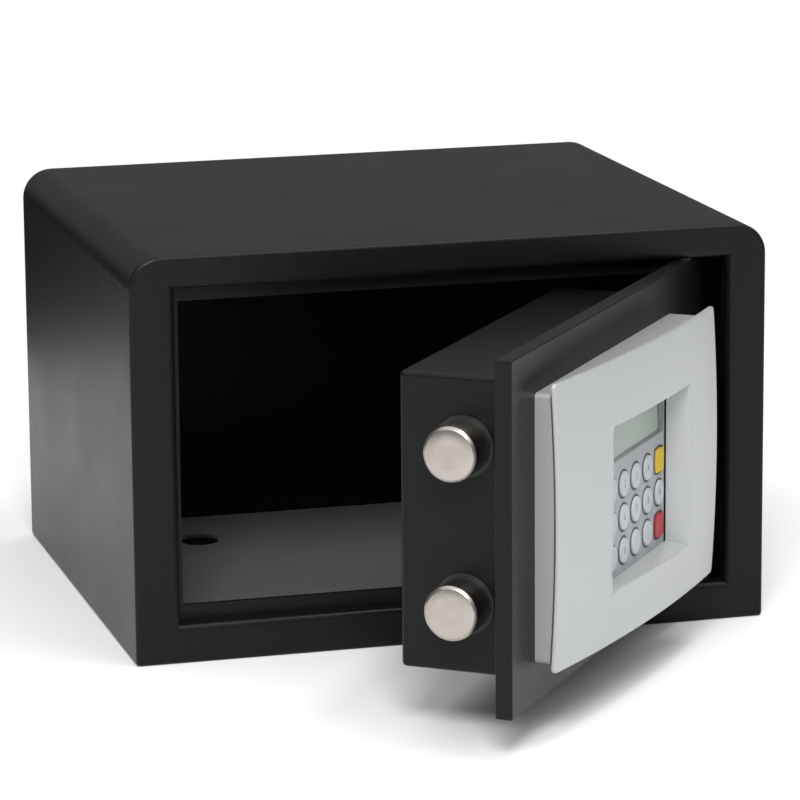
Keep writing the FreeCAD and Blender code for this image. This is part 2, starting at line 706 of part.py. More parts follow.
def rack_guide():
    """Channel on the door plate that the rack slides in."""
    top = RACK_BOTTOM_Z + RACK_BODY / 2
    base_top = RACK_BOTTOM_Z - GUIDE_GAP
    y_end = PINION_BACK_Y + GUIDE_GAP + GUIDE_LIP
    block = box(GUIDE_X, (PLATE_BACK_Y, y_end), (base_top - 2 * GUIDE_LIP, top))
    channel_y = (PINION_FRONT_Y - GUIDE_GAP, PINION_BACK_Y + GUIDE_GAP)
    return block.cut(box(GUIDE_X, channel_y, (base_top, top)))


def motor_bracket():
    """Folded bracket that carries the gear motor."""
    face = box(BRACKET_X, (BRACKET_Y, GEARBOX_Y), BRACKET_Z)
    arm_z = (BRACKET_Z[1] - BRACKET_THICK, BRACKET_Z[1])
    arm = box(BRACKET_X, (PLATE_BACK_Y, GEARBOX_Y), arm_z)
    foot = box(BRACKET_X, (PLATE_BACK_Y, PLATE_BACK_Y + BRACKET_THICK), (arm_z[0], arm_z[1] + BRACKET_FOOT))
    bracket = joined([face, arm, foot])
    return bracket.cut(shaft_bore(BRACKET_Y, GEARBOX_Y))


def shaft_bore(start_y, end_y):
    """Running hole for the gear motor's shaft."""
    diameter = SHAFT_DIA + 2 * SHAFT_PLAY
    return rod(diameter, (PINION_X, start_y, PINION_Z), (PINION_X, end_y, PINION_Z))


def motor_gearbox():
    """Reduction gearbox behind the bracket."""
    half_x = GEARBOX_SIZE[0] / 2
    x = (PINION_X - half_x, PINION_X + half_x)
    y = (GEARBOX_Y, GEARBOX_Y + GEARBOX_SIZE[1])
    z = (PINION_Z - GEARBOX_SIZE[2] / 2, PINION_Z + GEARBOX_SIZE[2] / 2)
    housing = softened(box(x, y, z), GEARBOX_CORNER, along_y)
    return housing.cut(shaft_bore(y[0], y[0] + GEARBOX_SIZE[1] / 2))


def drive_motor():
    """Small motor on the back of the gearbox."""
    start = GEARBOX_Y + GEARBOX_SIZE[1]
    can = rod(MOTOR_DIA, (PINION_X, start, PINION_Z), (PINION_X, start + MOTOR_LENGTH, PINION_Z))
    return softened(can, MOTOR_EDGE, lambda b: near(b.YMin, start + MOTOR_LENGTH))


# ---- electronics -----------------------------------------------------------------
def main_circuit_board():
    """Control board standing off the door plate."""
    y = PLATE_BACK_Y + STANDOFF_HEIGHT
    board = box(BOARD_X, (y, y + BOARD_THICK), BOARD_Z)
    holes = []
    for x, z in corners(BOARD_X, BOARD_Z, STANDOFF_INSET):
        holes.append(rod(PANEL_SCREW_DIA, (x, y, z), (x, y + BOARD_THICK, z)))
    return drilled(board, holes)


def board_standoffs():
    """Four standoffs, each with a stud that the board sits on."""
    y = PLATE_BACK_Y + STANDOFF_HEIGHT
    posts = []
    for x, z in corners(BOARD_X, BOARD_Z, STANDOFF_INSET):
        foot = rod(STANDOFF_DIA, (x, PLATE_BACK_Y, z), (x, y, z))
        stud = rod(PANEL_SCREW_DIA, (x, y, z), (x, y + BOARD_THICK + STUD_PROUD, z))
        posts.append(joined([foot, stud]))
    return Part.makeCompound(posts)


def board_components():
    """Processor, relay, connector, capacitor and buzzer on the control board."""
    y = PLATE_BACK_Y + STANDOFF_HEIGHT + BOARD_THICK
    left = BOARD_X[0]
    bottom = BOARD_Z[0]
    pieces = []
    for x, z, width, height, tall in BOARD_BLOCKS:
        area_x = (left + x, left + x + width)
        area_z = (bottom + z, bottom + z + height)
        pieces.append(box(area_x, (y, y + tall), area_z))
    for x, z, diameter, tall in BOARD_CANS:
        pieces.append(rod(diameter, (left + x, y, bottom + z), (left + x, y + tall, bottom + z)))
    return Part.makeCompound(pieces)


def cell_heights():
    """Height of each battery's axis."""
    middle = sum(HOLDER_Z) / 2
    first = middle - CELL_PITCH * (CELL_COUNT - 1) / 2
    return [first + CELL_PITCH * cell for cell in range(CELL_COUNT)]


def battery_holder():
    """Open tray for the batteries behind the case's rear window."""
    tray = box(HOLDER_X, (HOLDER_FRONT_Y, HOLDER_BACK_Y), HOLDER_Z)
    x = (HOLDER_X[0] + HOLDER_WALL, HOLDER_X[1] - HOLDER_WALL)
    z = (HOLDER_Z[0] + HOLDER_WALL / 2, HOLDER_Z[1] - HOLDER_WALL / 2)
    return tray.cut(box(x, (HOLDER_FRONT_Y + HOLDER_WALL, HOLDER_BACK_Y), z))


def batteries():
    """Four round cells, alternately turned, each with its raised pole."""
    cells = []
    centre = sum(HOLDER_X) / 2
    for number, z in enumerate(cell_heights()):
        way = 1 if number % 2 == 0 else -1
        start = (centre - way * CELL_LENGTH / 2, CELL_Y, z)
        shoulder = (centre + way * (CELL_LENGTH / 2 - CELL_POLE_HEIGHT), CELL_Y, z)
        tip = (centre + way * CELL_LENGTH / 2, CELL_Y, z)
        cells.append(joined([rod(CELL_DIA, start, shoulder), rod(CELL_POLE_DIA, shoulder, tip)]))
    return Part.makeCompound(cells)


def battery_contacts():
    """Flat contact and coil contact at the two ends of each cell."""
    reach = (HOLDER_X[1] - HOLDER_X[0] - CELL_LENGTH) / 2 - HOLDER_WALL
    y = (CELL_Y - CONTACT_HALF, CELL_Y + CONTACT_HALF)
    contacts = []
    for height in cell_heights():
        z = (height - CONTACT_HALF, height + CONTACT_HALF)
        for wall, inwards in ((HOLDER_X[0] + HOLDER_WALL, 1), (HOLDER_X[1] - HOLDER_WALL, -1)):
            face = wall + inwards * CONTACT_THICK
            plate = box(sorted((wall, face)), y, z)
            start = Vector(face, CELL_Y, height)
            way = Vector(inwards, 0, 0)
            cone = Part.makeCone(*CONTACT_CONE, reach - CONTACT_THICK, start, way)
            contacts.append(joined([plate, cone]))
    return Part.makeCompound(contacts)


def flap_spans():
    """X ranges of the flap's two knuckles and of the middle knuckle between them."""
    centre = sum(HOLDER_X) / 2
    half = FLAP_KNUCKLE_LENGTH / 2
    middle = (centre - half, centre + half)
    left = (middle[0] - FLAP_KNUCKLE_GAP - FLAP_KNUCKLE_LENGTH, middle[0] - FLAP_KNUCKLE_GAP)
    right = (middle[1] + FLAP_KNUCKLE_GAP, middle[1] + FLAP_KNUCKLE_GAP + FLAP_KNUCKLE_LENGTH)
    return left, middle, right


def knuckle(x, diameter):
    """Round barrel about the flap's pin."""
    return rod(diameter, (x[0], FLAP_PIN_Y, FLAP_PIN_Z), (x[1], FLAP_PIN_Y, FLAP_PIN_Z))


def battery_cover():
    """Flap over the batteries, hinged along its lower edge, with a finger tab."""
    left, middle, right = flap_spans()
    x = (HOLDER_X[0] - FLAP_MARGIN, HOLDER_X[1] + FLAP_MARGIN)
    y = (CASE_BACK_Y + FLAP_GAP, CASE_BACK_Y + FLAP_GAP + FLAP_THICK)
    z = (HOLDER_Z[0] - FLAP_MARGIN / 2 + 1, HOLDER_Z[1] + FLAP_MARGIN)
    sheet = softened(box(x, y, z), FLAP_CORNER, lambda b: along_y(b) and near(b.ZMax, z[1]))
    tab_x = (sum(x) / 2 - FLAP_PULL_WIDTH / 2, sum(x) / 2 + FLAP_PULL_WIDTH / 2)
    tab = box(tab_x, (y[0], y[1] + FLAP_PULL_PROUD), (z[1] - FLAP_THICK, z[1]))
    pieces = [sheet, tab]
    for span in (left, right):
        pieces.append(knuckle(span, FLAP_KNUCKLE_DIA))
        pieces.append(box(span, y, (FLAP_PIN_Z, z[0] + 1)))
    bore = knuckle((left[0], right[1]), FLAP_PIN_DIA + 2 * FLAP_PIN_PLAY)
    return joined(pieces).cut(bore)


def cover_hinge_leaf():
    """Fixed leaf and middle knuckle of the battery cover's hinge."""
    middle = flap_spans()[1]
    leaf = box(middle, (CASE_BACK_Y, CASE_BACK_Y + LEAF_THICK), (FLAP_PIN_Z - LEAF_DROP, FLAP_PIN_Z))
    neck = box(middle, (CASE_BACK_Y, FLAP_PIN_Y), (FLAP_PIN_Z - FLAP_KNUCKLE_DIA / 2, FLAP_PIN_Z))
    barrel = knuckle(middle, FLAP_KNUCKLE_DIA)
    return joined([leaf, neck, barrel]).cut(knuckle(middle, FLAP_PIN_DIA))


def cover_hinge_pin():
    """Pin held in the fixed knuckle."""
    left, middle, right = flap_spans()
    return knuckle((left[0], right[1]), FLAP_PIN_DIA)


# ---- keypad panel ----------------------------------------------------------------
def pillow(inset):
    """Ball whose surface lies that far behind the panel's front skin."""
    half_x = (PANEL_X[1] - PANEL_X[0]) / 2
    half_z = (PANEL_Z[1] - PANEL_Z[0]) / 2
    tilt = math.atan((PANEL_OUT_RIGHT - PANEL_OUT_LEFT) / (2 * half_x))
    rise = (half_x ** 2 + half_z ** 2) / (2 * PILLOW_RADIUS)
    crown = (PANEL_OUT_LEFT + PANEL_OUT_RIGHT) / 2 + rise
    centre_x = sum(PANEL_X) / 2 + PILLOW_RADIUS * math.sin(tilt)
    centre_out = crown - PILLOW_RADIUS * math.cos(tilt)
    centre = Vector(centre_x, out(centre_out), sum(PANEL_Z) / 2)
    return Part.makeSphere(PILLOW_RADIUS - inset, centre)


def well_frame(distance, margin):
    """Rectangle of the keypad well at one distance in front of the door plate."""
    rise = distance - WELL_FLOOR_OUT
    left, right, bottom, top = [spread * rise + margin for spread in WELL_SPREAD]
    x = (WELL_X[0] - left, WELL_X[1] + right)
    z = (WELL_Z[0] - bottom, WELL_Z[1] + top)
    y = out(distance)
    corner_points = [(x[0], z[0]), (x[1], z[0]), (x[1], z[1]), (x[0], z[1]), (x[0], z[0])]
    return Part.makePolygon([Vector(px, y, pz) for px, pz in corner_points])


def well(start, end, margin):
    """Solid funnel of the keypad well between two distances."""
    return Part.makeLoft([well_frame(start, margin), well_frame(end, margin)], True, True)


def fascia():
    """Pillow-shaped front skin with the sloped keypad well and four screw bosses."""
    y = (out(WELL_TOP_OUT), PLATE_FRONT_Y)
    outline = box(PANEL_X, y, PANEL_Z)
    outline = softened(outline, PANEL_CORNER, along_y)
    front = pillow(0)
    inside = pillow(PANEL_WALL)
    skin = outline.common(front).cut(inside)
    funnel = well(WELL_FLOOR_OUT, WELL_TOP_OUT, WELL_WALL).common(front)
    pieces = [skin, funnel]
    holes = [well(WELL_FLOOR_OUT - 1, WELL_TOP_OUT, 0)]
    for x, z in panel_screw_points():
        post = rod(BOSS_DIA, (x, out(BACKING_FLOOR), z), (x, out(WELL_TOP_OUT), z))
        pieces.append(post.common(pillow(PANEL_WALL / 2)))
        depth = PANEL_SCREW_LENGTH - PLATE_THICK
        holes.append(rod(PANEL_SCREW_DIA, (x, PLATE_FRONT_Y, z), (x, out(depth), z)))
    return drilled(joined(pieces), holes)


def panel_backing():
    """Tray behind the skin that stands the panel off the door plate."""
    y = (out(WELL_TOP_OUT), PLATE_FRONT_Y)
    block = softened(box(BACKING_X, y, BACKING_Z), BACKING_CORNER, along_y)
    block = block.common(pillow(PANEL_WALL + SHADOW_GAP))
    x = (BACKING_X[0] + BACKING_WALL, BACKING_X[1] - BACKING_WALL)
    z = (BACKING_Z[0] + BACKING_WALL, BACKING_Z[1] - BACKING_WALL)
    hollow = box(x, (out(WELL_TOP_OUT), out(BACKING_FLOOR)), z)
    holes = [hollow]
    for px, pz in panel_screw_points():
        holes.append(rod(PANEL_SCREW_DIA, (px, PLATE_FRONT_Y, pz), (px, out(BACKING_FLOOR), pz)))
    start = (CABLE_X, PLATE_FRONT_Y, CABLE_Z)
    end = (CABLE_X, out(BACKING_FLOOR), CABLE_Z)
    holes.append(rod(CABLE_HOLE_DIA, start, end))
    return drilled(block, holes)


def panel_screws():
    """Four screws from behind the door plate into the fascia's bosses."""
    size = (PANEL_SCREW_DIA, PANEL_SCREW_LENGTH, PANEL_SCREW_HEAD_DIA, PANEL_SCREW_HEAD_HEIGHT)
    return Part.makeCompound([pan_screw(x, PLATE_BACK_Y, z, size, -1) for x, z in panel_screw_points()])


# ---- keys and display ------------------------------------------------------------
def key_centres():
    """Name and centre of every key, row by row from the top left."""
    centres = []
    for row in range(KEY_ROWS):
        for column in range(KEY_COLUMNS):
            x = KEY_CENTRE_X + (column - (KEY_COLUMNS - 1) / 2) * KEY_PITCH_X
            z = KEY_CENTRE_Z + ((KEY_ROWS - 1) / 2 - row) * KEY_PITCH_Z
            centres.append((KEY_NAMES[row][column], x, z))
    return centres


def key_prism(name, x, z, margin, distances):
    """Round or square prism around one key's centre."""
    half = KEY_DIA / 2 + margin
    y = (out(distances[1]), out(distances[0]))
    if name in SQUARE_KEYS:
        block = box((x - half, x + half), y, (z - half, z + half))
        return softened(block, KEY_CORNER + margin, along_y)
    return rod(2 * half, (x, y[0], z), (x, y[1], z))


def key_cap(name, x, z):
    """Key with a retaining flange and a short stem behind it."""
    flange_top = WELL_FLOOR_OUT - KEY_PLATE_THICK - KEY_FLANGE_GAP
    flange_low = flange_top - KEY_FLANGE_THICK
    cap = key_prism(name, x, z, 0, (flange_low, WELL_FLOOR_OUT + KEY_PROUD))
    top_y = out(WELL_FLOOR_OUT + KEY_PROUD)
    cap = softened(cap, KEY_DOME, lambda b: near(b.YMin, top_y) and near(b.YMax, top_y))
    flange = key_prism(name, x, z, KEY_FLANGE, (flange_low, flange_top))
    stem = rod(KEY_STEM_DIA, (x, out(flange_low - KEY_STEM_LENGTH), z), (x, out(flange_low), z))
    return joined([cap, flange, stem])


def key_boss_points():
    """Corners of the key plate where the key board is screwed on."""
    return corners(KEY_PLATE_X, KEY_PLATE_Z, KEY_BOSS_INSET)


def keypad_plate():
    """Plate under the well with a hole for every key and for the display window."""
    low = WELL_FLOOR_OUT - KEY_PLATE_THICK
    y = (out(WELL_FLOOR_OUT), out(low))
    sheet = box(KEY_PLATE_X, y, KEY_PLATE_Z)
    bosses = []
    holes = []
    for x, z in key_boss_points():
        bosses.append(rod(KEY_BOSS_DIA, (x, out(KEY_BOARD_OUT[1]), z), (x, out(low), z)))
        depth = KEY_BOARD_OUT[0] + KEY_SCREW_LENGTH
        holes.append(rod(KEY_SCREW_DIA, (x, out(KEY_BOARD_OUT[1]), z), (x, out(depth), z)))
    for name, x, z in key_centres():
        holes.append(key_prism(name, x, z, KEY_PLAY, (low, WELL_FLOOR_OUT)))
    holes.append(box(DISPLAY_X, y, DISPLAY_Z))
    return drilled(joined([sheet] + bosses), holes)


def display_window():
    """Clear window let into the keypad plate."""
    top = WELL_FLOOR_OUT - 0.1
    return box(DISPLAY_X, (out(top), out(top - GLASS_THICK)), DISPLAY_Z)


def display_module():
    """Liquid crystal display behind the window."""
    y = (out(DISPLAY_BODY_OUT[1]), out(DISPLAY_BODY_OUT[0]))
    return box(DISPLAY_BODY_X, y, DISPLAY_BODY_Z)


def switch_mat():
    """Rubber switch mat on the key board."""
    y = (out(KEY_BOARD_OUT[1] + MAT_THICK), out(KEY_BOARD_OUT[1]))
    return box(MAT_X, y, MAT_Z)


def keypad_board():
    """Circuit board behind the keys."""
    y = (out(KEY_BOARD_OUT[1]), out(KEY_BOARD_OUT[0]))
    board = box(KEY_BOARD_X, y, KEY_BOARD_Z)
    holes = []
    for x, z in key_boss_points():
        holes.append(rod(KEY_SCREW_DIA, (x, y[0], z), (x, y[1], z)))
    return drilled(board, holes)


def keypad_screws():
    """Four small screws that hold the key board to the key plate."""
    size = (KEY_SCREW_DIA, KEY_SCREW_LENGTH, KEY_SCREW_HEAD_DIA, KEY_SCREW_HEAD_HEIGHT)
    y = out(KEY_BOARD_OUT[0])
    return Part.makeCompound([pan_screw(x, y, z, size, -1) for x, z in key_boss_points()])


def cable_grommet():
    """Rubber grommet that lines the cable hole in the door plate."""
    y = (out(BACKING_FLOOR), PLATE_BACK_Y)
    body = rod(CABLE_HOLE_DIA, (CABLE_X, y[0], CABLE_Z), (CABLE_X, y[1], CABLE_Z))
    lip_end = y[1] + GROMMET_LIP
    lip = rod(CABLE_HOLE_DIA + 2 * GROMMET_LIP, (CABLE_X, y[1], CABLE_Z), (CABLE_X, lip_end, CABLE_Z))
    bore = rod(CABLE_HOLE_DIA - 2 * GROMMET_WALL, (CABLE_X, y[0], CABLE_Z), (CABLE_X, lip_end, CABLE_Z))
    return joined([body, lip]).cut(bore)


# ---- the assembly ----------------------------------------------------------------
fixed("cabinet_wrap", cabinet_wrap())
fixed("front_frame", front_frame())
fixed("floor_plate", floor_plate())
fixed("back_plate", back_plate())
fixed("strike_bar", strike_bar())
fixed("door_stops", door_stops())
fixed("hinge_lugs", hinge_lugs())
fixed("hinge_pins", hinge_pins())
fixed("hinge_washers", hinge_washers())
fixed("floor_mat", floor_mat())

on_door("door_plate", door_plate())
on_door("lock_case", lock_case())
on_door("case_pillars", case_pillars())
on_door("case_screws", case_screws())
on_door("upper_bolt", locking_bolt(BOLT_Z[1]))
on_door("lower_bolt", locking_bolt(BOLT_Z[0]))
on_door("bolt_bushes", bolt_bushes())
on_door("bolt_carriage", bolt_carriage())
on_door("carriage_screws", carriage_screws())
on_door("drive_rack", drive_rack())
on_door("rack_guide", rack_guide())
on_door("drive_pinion", drive_pinion())
on_door("pinion_shaft", pinion_shaft())
on_door("motor_bracket", motor_bracket())
on_door("motor_gearbox", motor_gearbox())
on_door("drive_motor", drive_motor())
on_door("main_circuit_board", main_circuit_board())
on_door("board_standoffs", board_standoffs())
on_door("board_components", board_components())
on_door("battery_holder", battery_holder())
on_door("batteries", batteries())
on_door("battery_contacts", battery_contacts())
on_door("battery_cover", battery_cover())
on_door("cover_hinge_leaf", cover_hinge_leaf())
on_door("cover_hinge_pin", cover_hinge_pin())
on_door("panel_backing", panel_backing())
on_door("fascia", fascia())
on_door("panel_screws", panel_screws())
on_door("keypad_plate", keypad_plate())
on_door("display_window", display_window())
on_door("display_module", display_module())
on_door("switch_mat", switch_mat())
on_door("keypad_board", keypad_board())
on_door("keypad_screws", keypad_screws())
on_door("cable_grommet", cable_grommet())
for key_name, key_x, key_z in key_centres():
    on_door(key_name, key_cap(key_name, key_x, key_z))

os.makedirs("parts", exist_ok=True)
for node_name, node_shape in parts.items():
    node_shape.exportStep("parts/" + node_name + ".step")
    print(node_name, node_shape.isValid(), len(node_shape.Solids), round(node_shape.Volume))
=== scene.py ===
import json
import math

import bpy
import bmesh
from mathutils import Matrix, Vector, noise


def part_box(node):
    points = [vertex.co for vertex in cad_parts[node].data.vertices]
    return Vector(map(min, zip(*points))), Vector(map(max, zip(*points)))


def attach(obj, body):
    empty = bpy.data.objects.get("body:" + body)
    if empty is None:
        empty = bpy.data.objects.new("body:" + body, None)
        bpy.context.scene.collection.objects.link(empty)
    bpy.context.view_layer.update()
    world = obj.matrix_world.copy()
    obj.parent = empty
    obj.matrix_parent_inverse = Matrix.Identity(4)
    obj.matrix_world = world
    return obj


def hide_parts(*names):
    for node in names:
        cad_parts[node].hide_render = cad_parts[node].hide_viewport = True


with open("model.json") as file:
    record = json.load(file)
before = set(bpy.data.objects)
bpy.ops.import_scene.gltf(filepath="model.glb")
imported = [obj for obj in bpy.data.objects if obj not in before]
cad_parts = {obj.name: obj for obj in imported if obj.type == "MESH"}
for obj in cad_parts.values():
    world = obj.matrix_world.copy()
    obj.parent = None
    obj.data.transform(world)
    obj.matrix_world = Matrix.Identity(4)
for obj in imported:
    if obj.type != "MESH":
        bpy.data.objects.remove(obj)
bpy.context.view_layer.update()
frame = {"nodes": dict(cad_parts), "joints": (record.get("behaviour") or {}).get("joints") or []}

# In-room safe.  Everything is in metres in the row frame: the door opening faces -Y and
# the door hangs open on the +X side.  Door pieces are built with the door closed, where
# they are square to the axes, and are then swung about the hinge to the rest pose.

MM = 0.001
nodes = frame["nodes"]
joints = {joint["name"]: joint for joint in frame["joints"]}

# ---- places read from the frame --------------------------------------------------
hinge = joints["door_swing"]
hinge_point = Vector(hinge["pos_m"])
rest_angle = math.radians(-hinge["range_deg"][0])
TO_REST = (Matrix.Translation(hinge_point) @ Matrix.Rotation(rest_angle, 4, "Z")
           @ Matrix.Translation(-hinge_point))
TO_CLOSED = TO_REST.inverted()


def closed_box(node):
    """Lowest and highest corner of a door node, measured with the door closed."""
    points = [TO_CLOSED @ vertex.co for vertex in nodes[node].data.vertices]
    low = Vector([min(point[axis] for point in points) for axis in range(3)])
    high = Vector([max(point[axis] for point in points) for axis in range(3)])
    return low, high


PLATE_FACE = closed_box("door_plate")[0].y


def out(distance):
    """Y of a point that far in front of the closed door plate."""
    return PLATE_FACE - distance


# ---- meshes ----------------------------------------------------------------------
SHARP_ANGLE = math.radians(38)


def add_object(name, mesh, body, material, swing=False):
    """Links a mesh as a piece of the object, riding on one body."""
    if swing:
        mesh.transform(TO_REST)
    mesh.validate()
    piece = bpy.data.objects.new(name, mesh)
    bpy.context.scene.collection.objects.link(piece)
    piece.data.materials.clear()
    piece.data.materials.append(material)
    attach(piece, body)
    return piece


def finished(bm, name):
    """Turns a bmesh into a smooth-shaded mesh with its creases kept sharp."""
    bmesh.ops.recalc_face_normals(bm, faces=bm.faces)
    mesh = bpy.data.meshes.new(name)
    bm.to_mesh(mesh)
    bm.free()
    mesh.polygons.foreach_set("use_smooth", [True] * len(mesh.polygons))
    mesh.set_sharp_from_angle(angle=SHARP_ANGLE)
    return mesh


def loft(name, rings, closed_along=False):
    """Joins rings of points, each with the same count, into a closed skin."""
    bm = bmesh.new()
    made = [[bm.verts.new(point) for point in ring] for ring in rings]
    count = len(rings[0])
    pairs = list(zip(made, made[1:]))
    if closed_along:
        pairs.append((made[-1], made[0]))
    for first, second in pairs:
        for index in range(count):
            after = (index + 1) % count
            bm.faces.new((first[index], first[after], second[after], second[index]))
    if not closed_along:
        bm.faces.new(made[0])
        bm.faces.new(reversed(made[-1]))
    return finished(bm, name)


# ---- materials -------------------------------------------------------------------
class Shader:
    """A node material about the Principled shader, with its coordinates ready."""

    def __init__(self, name, color, roughness, metallic=0.0, specular=0.5):
        self.material = bpy.data.materials.new(name)
        self.material.use_nodes = True
        self.tree = self.material.node_tree
        self.main = self.tree.nodes["Principled BSDF"]
        self.color = color
        self.set("Base Color", (*color, 1.0))
        self.set("Roughness", roughness)
        self.set("Metallic", metallic)
        self.set("Specular IOR Level", specular)
        self.place = self.add("ShaderNodeTexCoord").outputs["Object"]

    def set(self, socket, value):
        self.main.inputs[socket].default_value = value

    def add(self, kind, **options):
        node = self.tree.nodes.new(kind)
        for option, value in options.items():
            setattr(node, option, value)
        return node

    def link(self, source, target):
        self.tree.links.new(source, target)

    def noise(self, scale, detail=2.0, roughness=0.5, place=None):
        node = self.add("ShaderNodeTexNoise")
        node.inputs["Scale"].default_value = scale
        node.inputs["Detail"].default_value = detail
        node.inputs["Roughness"].default_value = roughness
        self.link(place or self.place, node.inputs["Vector"])
        return node.outputs["Fac"]

    def stretched(self, scale, rotation=(0.0, 0.0, 0.0)):
        """The coordinates scaled along each axis, for brushed and woven looks."""
        node = self.add("ShaderNodeMapping")
        node.inputs["Scale"].default_value = scale
        node.inputs["Rotation"].default_value = rotation
        self.link(self.place, node.inputs["Vector"])
        return node.outputs["Vector"]

    def ramp(self, value, stops):
        """Turns a value into a colour through (position, colour) stops."""
        node = self.add("ShaderNodeValToRGB")
        elements = node.color_ramp.elements
        while len(elements) < len(stops):
            elements.new(0.5)
        for element, (position, color) in zip(elements, stops):
            element.position = position
            element.color = (*color, 1.0)
        self.link(value, node.inputs["Fac"])
        return node.outputs["Color"]

    def spread(self, value, low, high, start=0.0, end=1.0):
        """Maps a value from start..end to low..high."""
        node = self.add("ShaderNodeMapRange")
        node.inputs["From Min"].default_value = start
        node.inputs["From Max"].default_value = end
        node.inputs["To Min"].default_value = low
        node.inputs["To Max"].default_value = high
        self.link(value, node.inputs["Value"])
        return node.outputs["Result"]

    def math(self, operation, first, second=None):
        node = self.add("ShaderNodeMath", operation=operation)
        for socket, value in zip(node.inputs, (first, second)):
            if value is None:
                continue
            if isinstance(value, (int, float)):
                socket.default_value = value
            else:
                self.link(value, socket)
        return node.outputs["Value"]

    def vary_color(self, value, amount, start=0.3, end=0.7):
        """Darkens and lightens the base colour a little with a value."""
        dark = [channel * (1 - amount) for channel in self.color]
        light = [min(1.0, channel * (1 + amount)) for channel in self.color]
        self.link(self.ramp(value, [(start, dark), (end, light)]), self.main.inputs["Base Color"])

    def vary_roughness(self, value, low, high, start=0.3, end=0.7):
        self.link(self.spread(value, low, high, start, end), self.main.inputs["Roughness"])

    def bump(self, value, height, strength=1.0, under=None):
        """Adds a bump whose full height is given in metres."""
        node = self.add("ShaderNodeBump")
        node.inputs["Distance"].default_value = height
        node.inputs["Strength"].default_value = strength
        self.link(value, node.inputs["Height"])
        if under is not None:
            self.link(under, node.inputs["Normal"])
        self.link(node.outputs["Normal"], self.main.inputs["Normal"])
        return node.outputs["Normal"]


def powder_coat(name):
    """Semi-gloss black powder coat with fine orange peel and a faint cloudiness."""
    shader = Shader(name, (0.0052, 0.0057, 0.0055), 0.34, specular=0.17)
    peel = shader.noise(620.0, 3.0, 0.55)
    grain = shader.noise(2300.0, 2.0)
    cloud = shader.noise(9.0, 4.0, 0.6)
    shader.vary_color(shader.math("ADD", shader.math("MULTIPLY", peel, 0.7),
                                  shader.math("MULTIPLY", cloud, 0.3)), 0.35)
    shader.vary_roughness(cloud, 0.31, 0.38)
    coarse = shader.bump(peel, 0.00022, 0.6)
    shader.bump(grain, 0.00005, 0.5, coarse)
    return shader.material


def lacquered_plastic(name, color, roughness=0.36, metallic=0.3, flake=0.03):
    """Silver lacquer on moulded plastic: fine flake, faint flow and soft sheen."""
    shader = Shader(name, color, roughness, metallic)
    flakes = shader.noise(5200.0, 1.0)
    flow = shader.noise(14.0, 3.0, 0.6)
    shader.vary_color(flakes, flake)
    shader.vary_roughness(flow, roughness - 0.03, roughness + 0.04)
    shader.bump(flakes, 0.00001, 0.3)
    shader.set("Coat Weight", 0.15)
    shader.set("Coat Roughness", 0.2)
    return shader.material


def moulded_plastic(name, color, roughness=0.45, grain=900.0, depth=0.00004, variation=0.06):
    """Moulded plastic with a fine spark-eroded grain."""
    shader = Shader(name, color, roughness)
    texture = shader.noise(grain, 2.0)
    cloud = shader.noise(30.0, 3.0)
    shader.vary_color(cloud, variation)
    shader.vary_roughness(texture, roughness - 0.05, roughness + 0.07)
    shader.bump(texture, depth, 0.5)
    return shader.material


def plated_steel(name, color, roughness=0.3, stretch=(40.0, 2000.0, 2000.0)):
    """Plated or ground steel with fine lines and a cloudy sheen."""
    shader = Shader(name, color, roughness, metallic=1.0)
    lines = shader.noise(1.0, 3.0, place=shader.stretched(stretch))
    cloud = shader.noise(60.0, 3.0)
    shader.vary_color(cloud, 0.1)
    shader.vary_roughness(lines, roughness - 0.07, roughness + 0.1)
    shader.bump(lines, 0.00002, 0.4)
    return shader.material


def turned_steel(name, axis_point, axis_turn):
    """Nickel-plated steel turned on a lathe: fine rings about the bolt's own axis."""
    shader = Shader(name, (0.42, 0.385, 0.355), 0.3, metallic=1.0)
    node = shader.add("ShaderNodeMapping", vector_type="TEXTURE")
    node.inputs["Location"].default_value = axis_point
    node.inputs["Rotation"].default_value = axis_turn
    shader.link(shader.place, node.inputs["Vector"])
    split = shader.add("ShaderNodeSeparateXYZ")
    shader.link(node.outputs["Vector"], split.inputs["Vector"])
    across = shader.math("MULTIPLY", split.outputs["Y"], split.outputs["Y"])
    upward = shader.math("MULTIPLY", split.outputs["Z"], split.outputs["Z"])
    radius = shader.math("SQRT", shader.math("ADD", across, upward))
    along = shader.math("ADD", radius, split.outputs["X"])
    join = shader.add("ShaderNodeCombineXYZ")
    shader.link(along, join.inputs["X"])
    rings = shader.noise(5200.0, 2.0, 0.6, place=join.outputs["Vector"])
    cloud = shader.noise(120.0, 3.0)
    shader.vary_color(cloud, 0.06)
    shader.vary_roughness(rings, 0.24, 0.36)
    shader.bump(rings, 0.000035, 0.5)
    return shader.material


def felt(name):
    """Needle felt: matted short fibres in charcoal."""
    shader = Shader(name, (0.018, 0.018, 0.02), 0.95, specular=0.2)
    fibre = shader.noise(1.0, 6.0, 0.7, place=shader.stretched((1500.0, 700.0, 900.0), (0, 0, 0.6)))
    patch = shader.noise(90.0, 4.0)
    matted = shader.math("ADD", shader.math("MULTIPLY", fibre, 0.6), shader.math("MULTIPLY", patch, 0.4))
    shader.vary_color(matted, 0.55)
    shader.bump(fibre, 0.0006, 0.8)
    shader.set("Sheen Weight", 0.25)
    shader.set("Sheen Roughness", 0.6)
    return shader.material


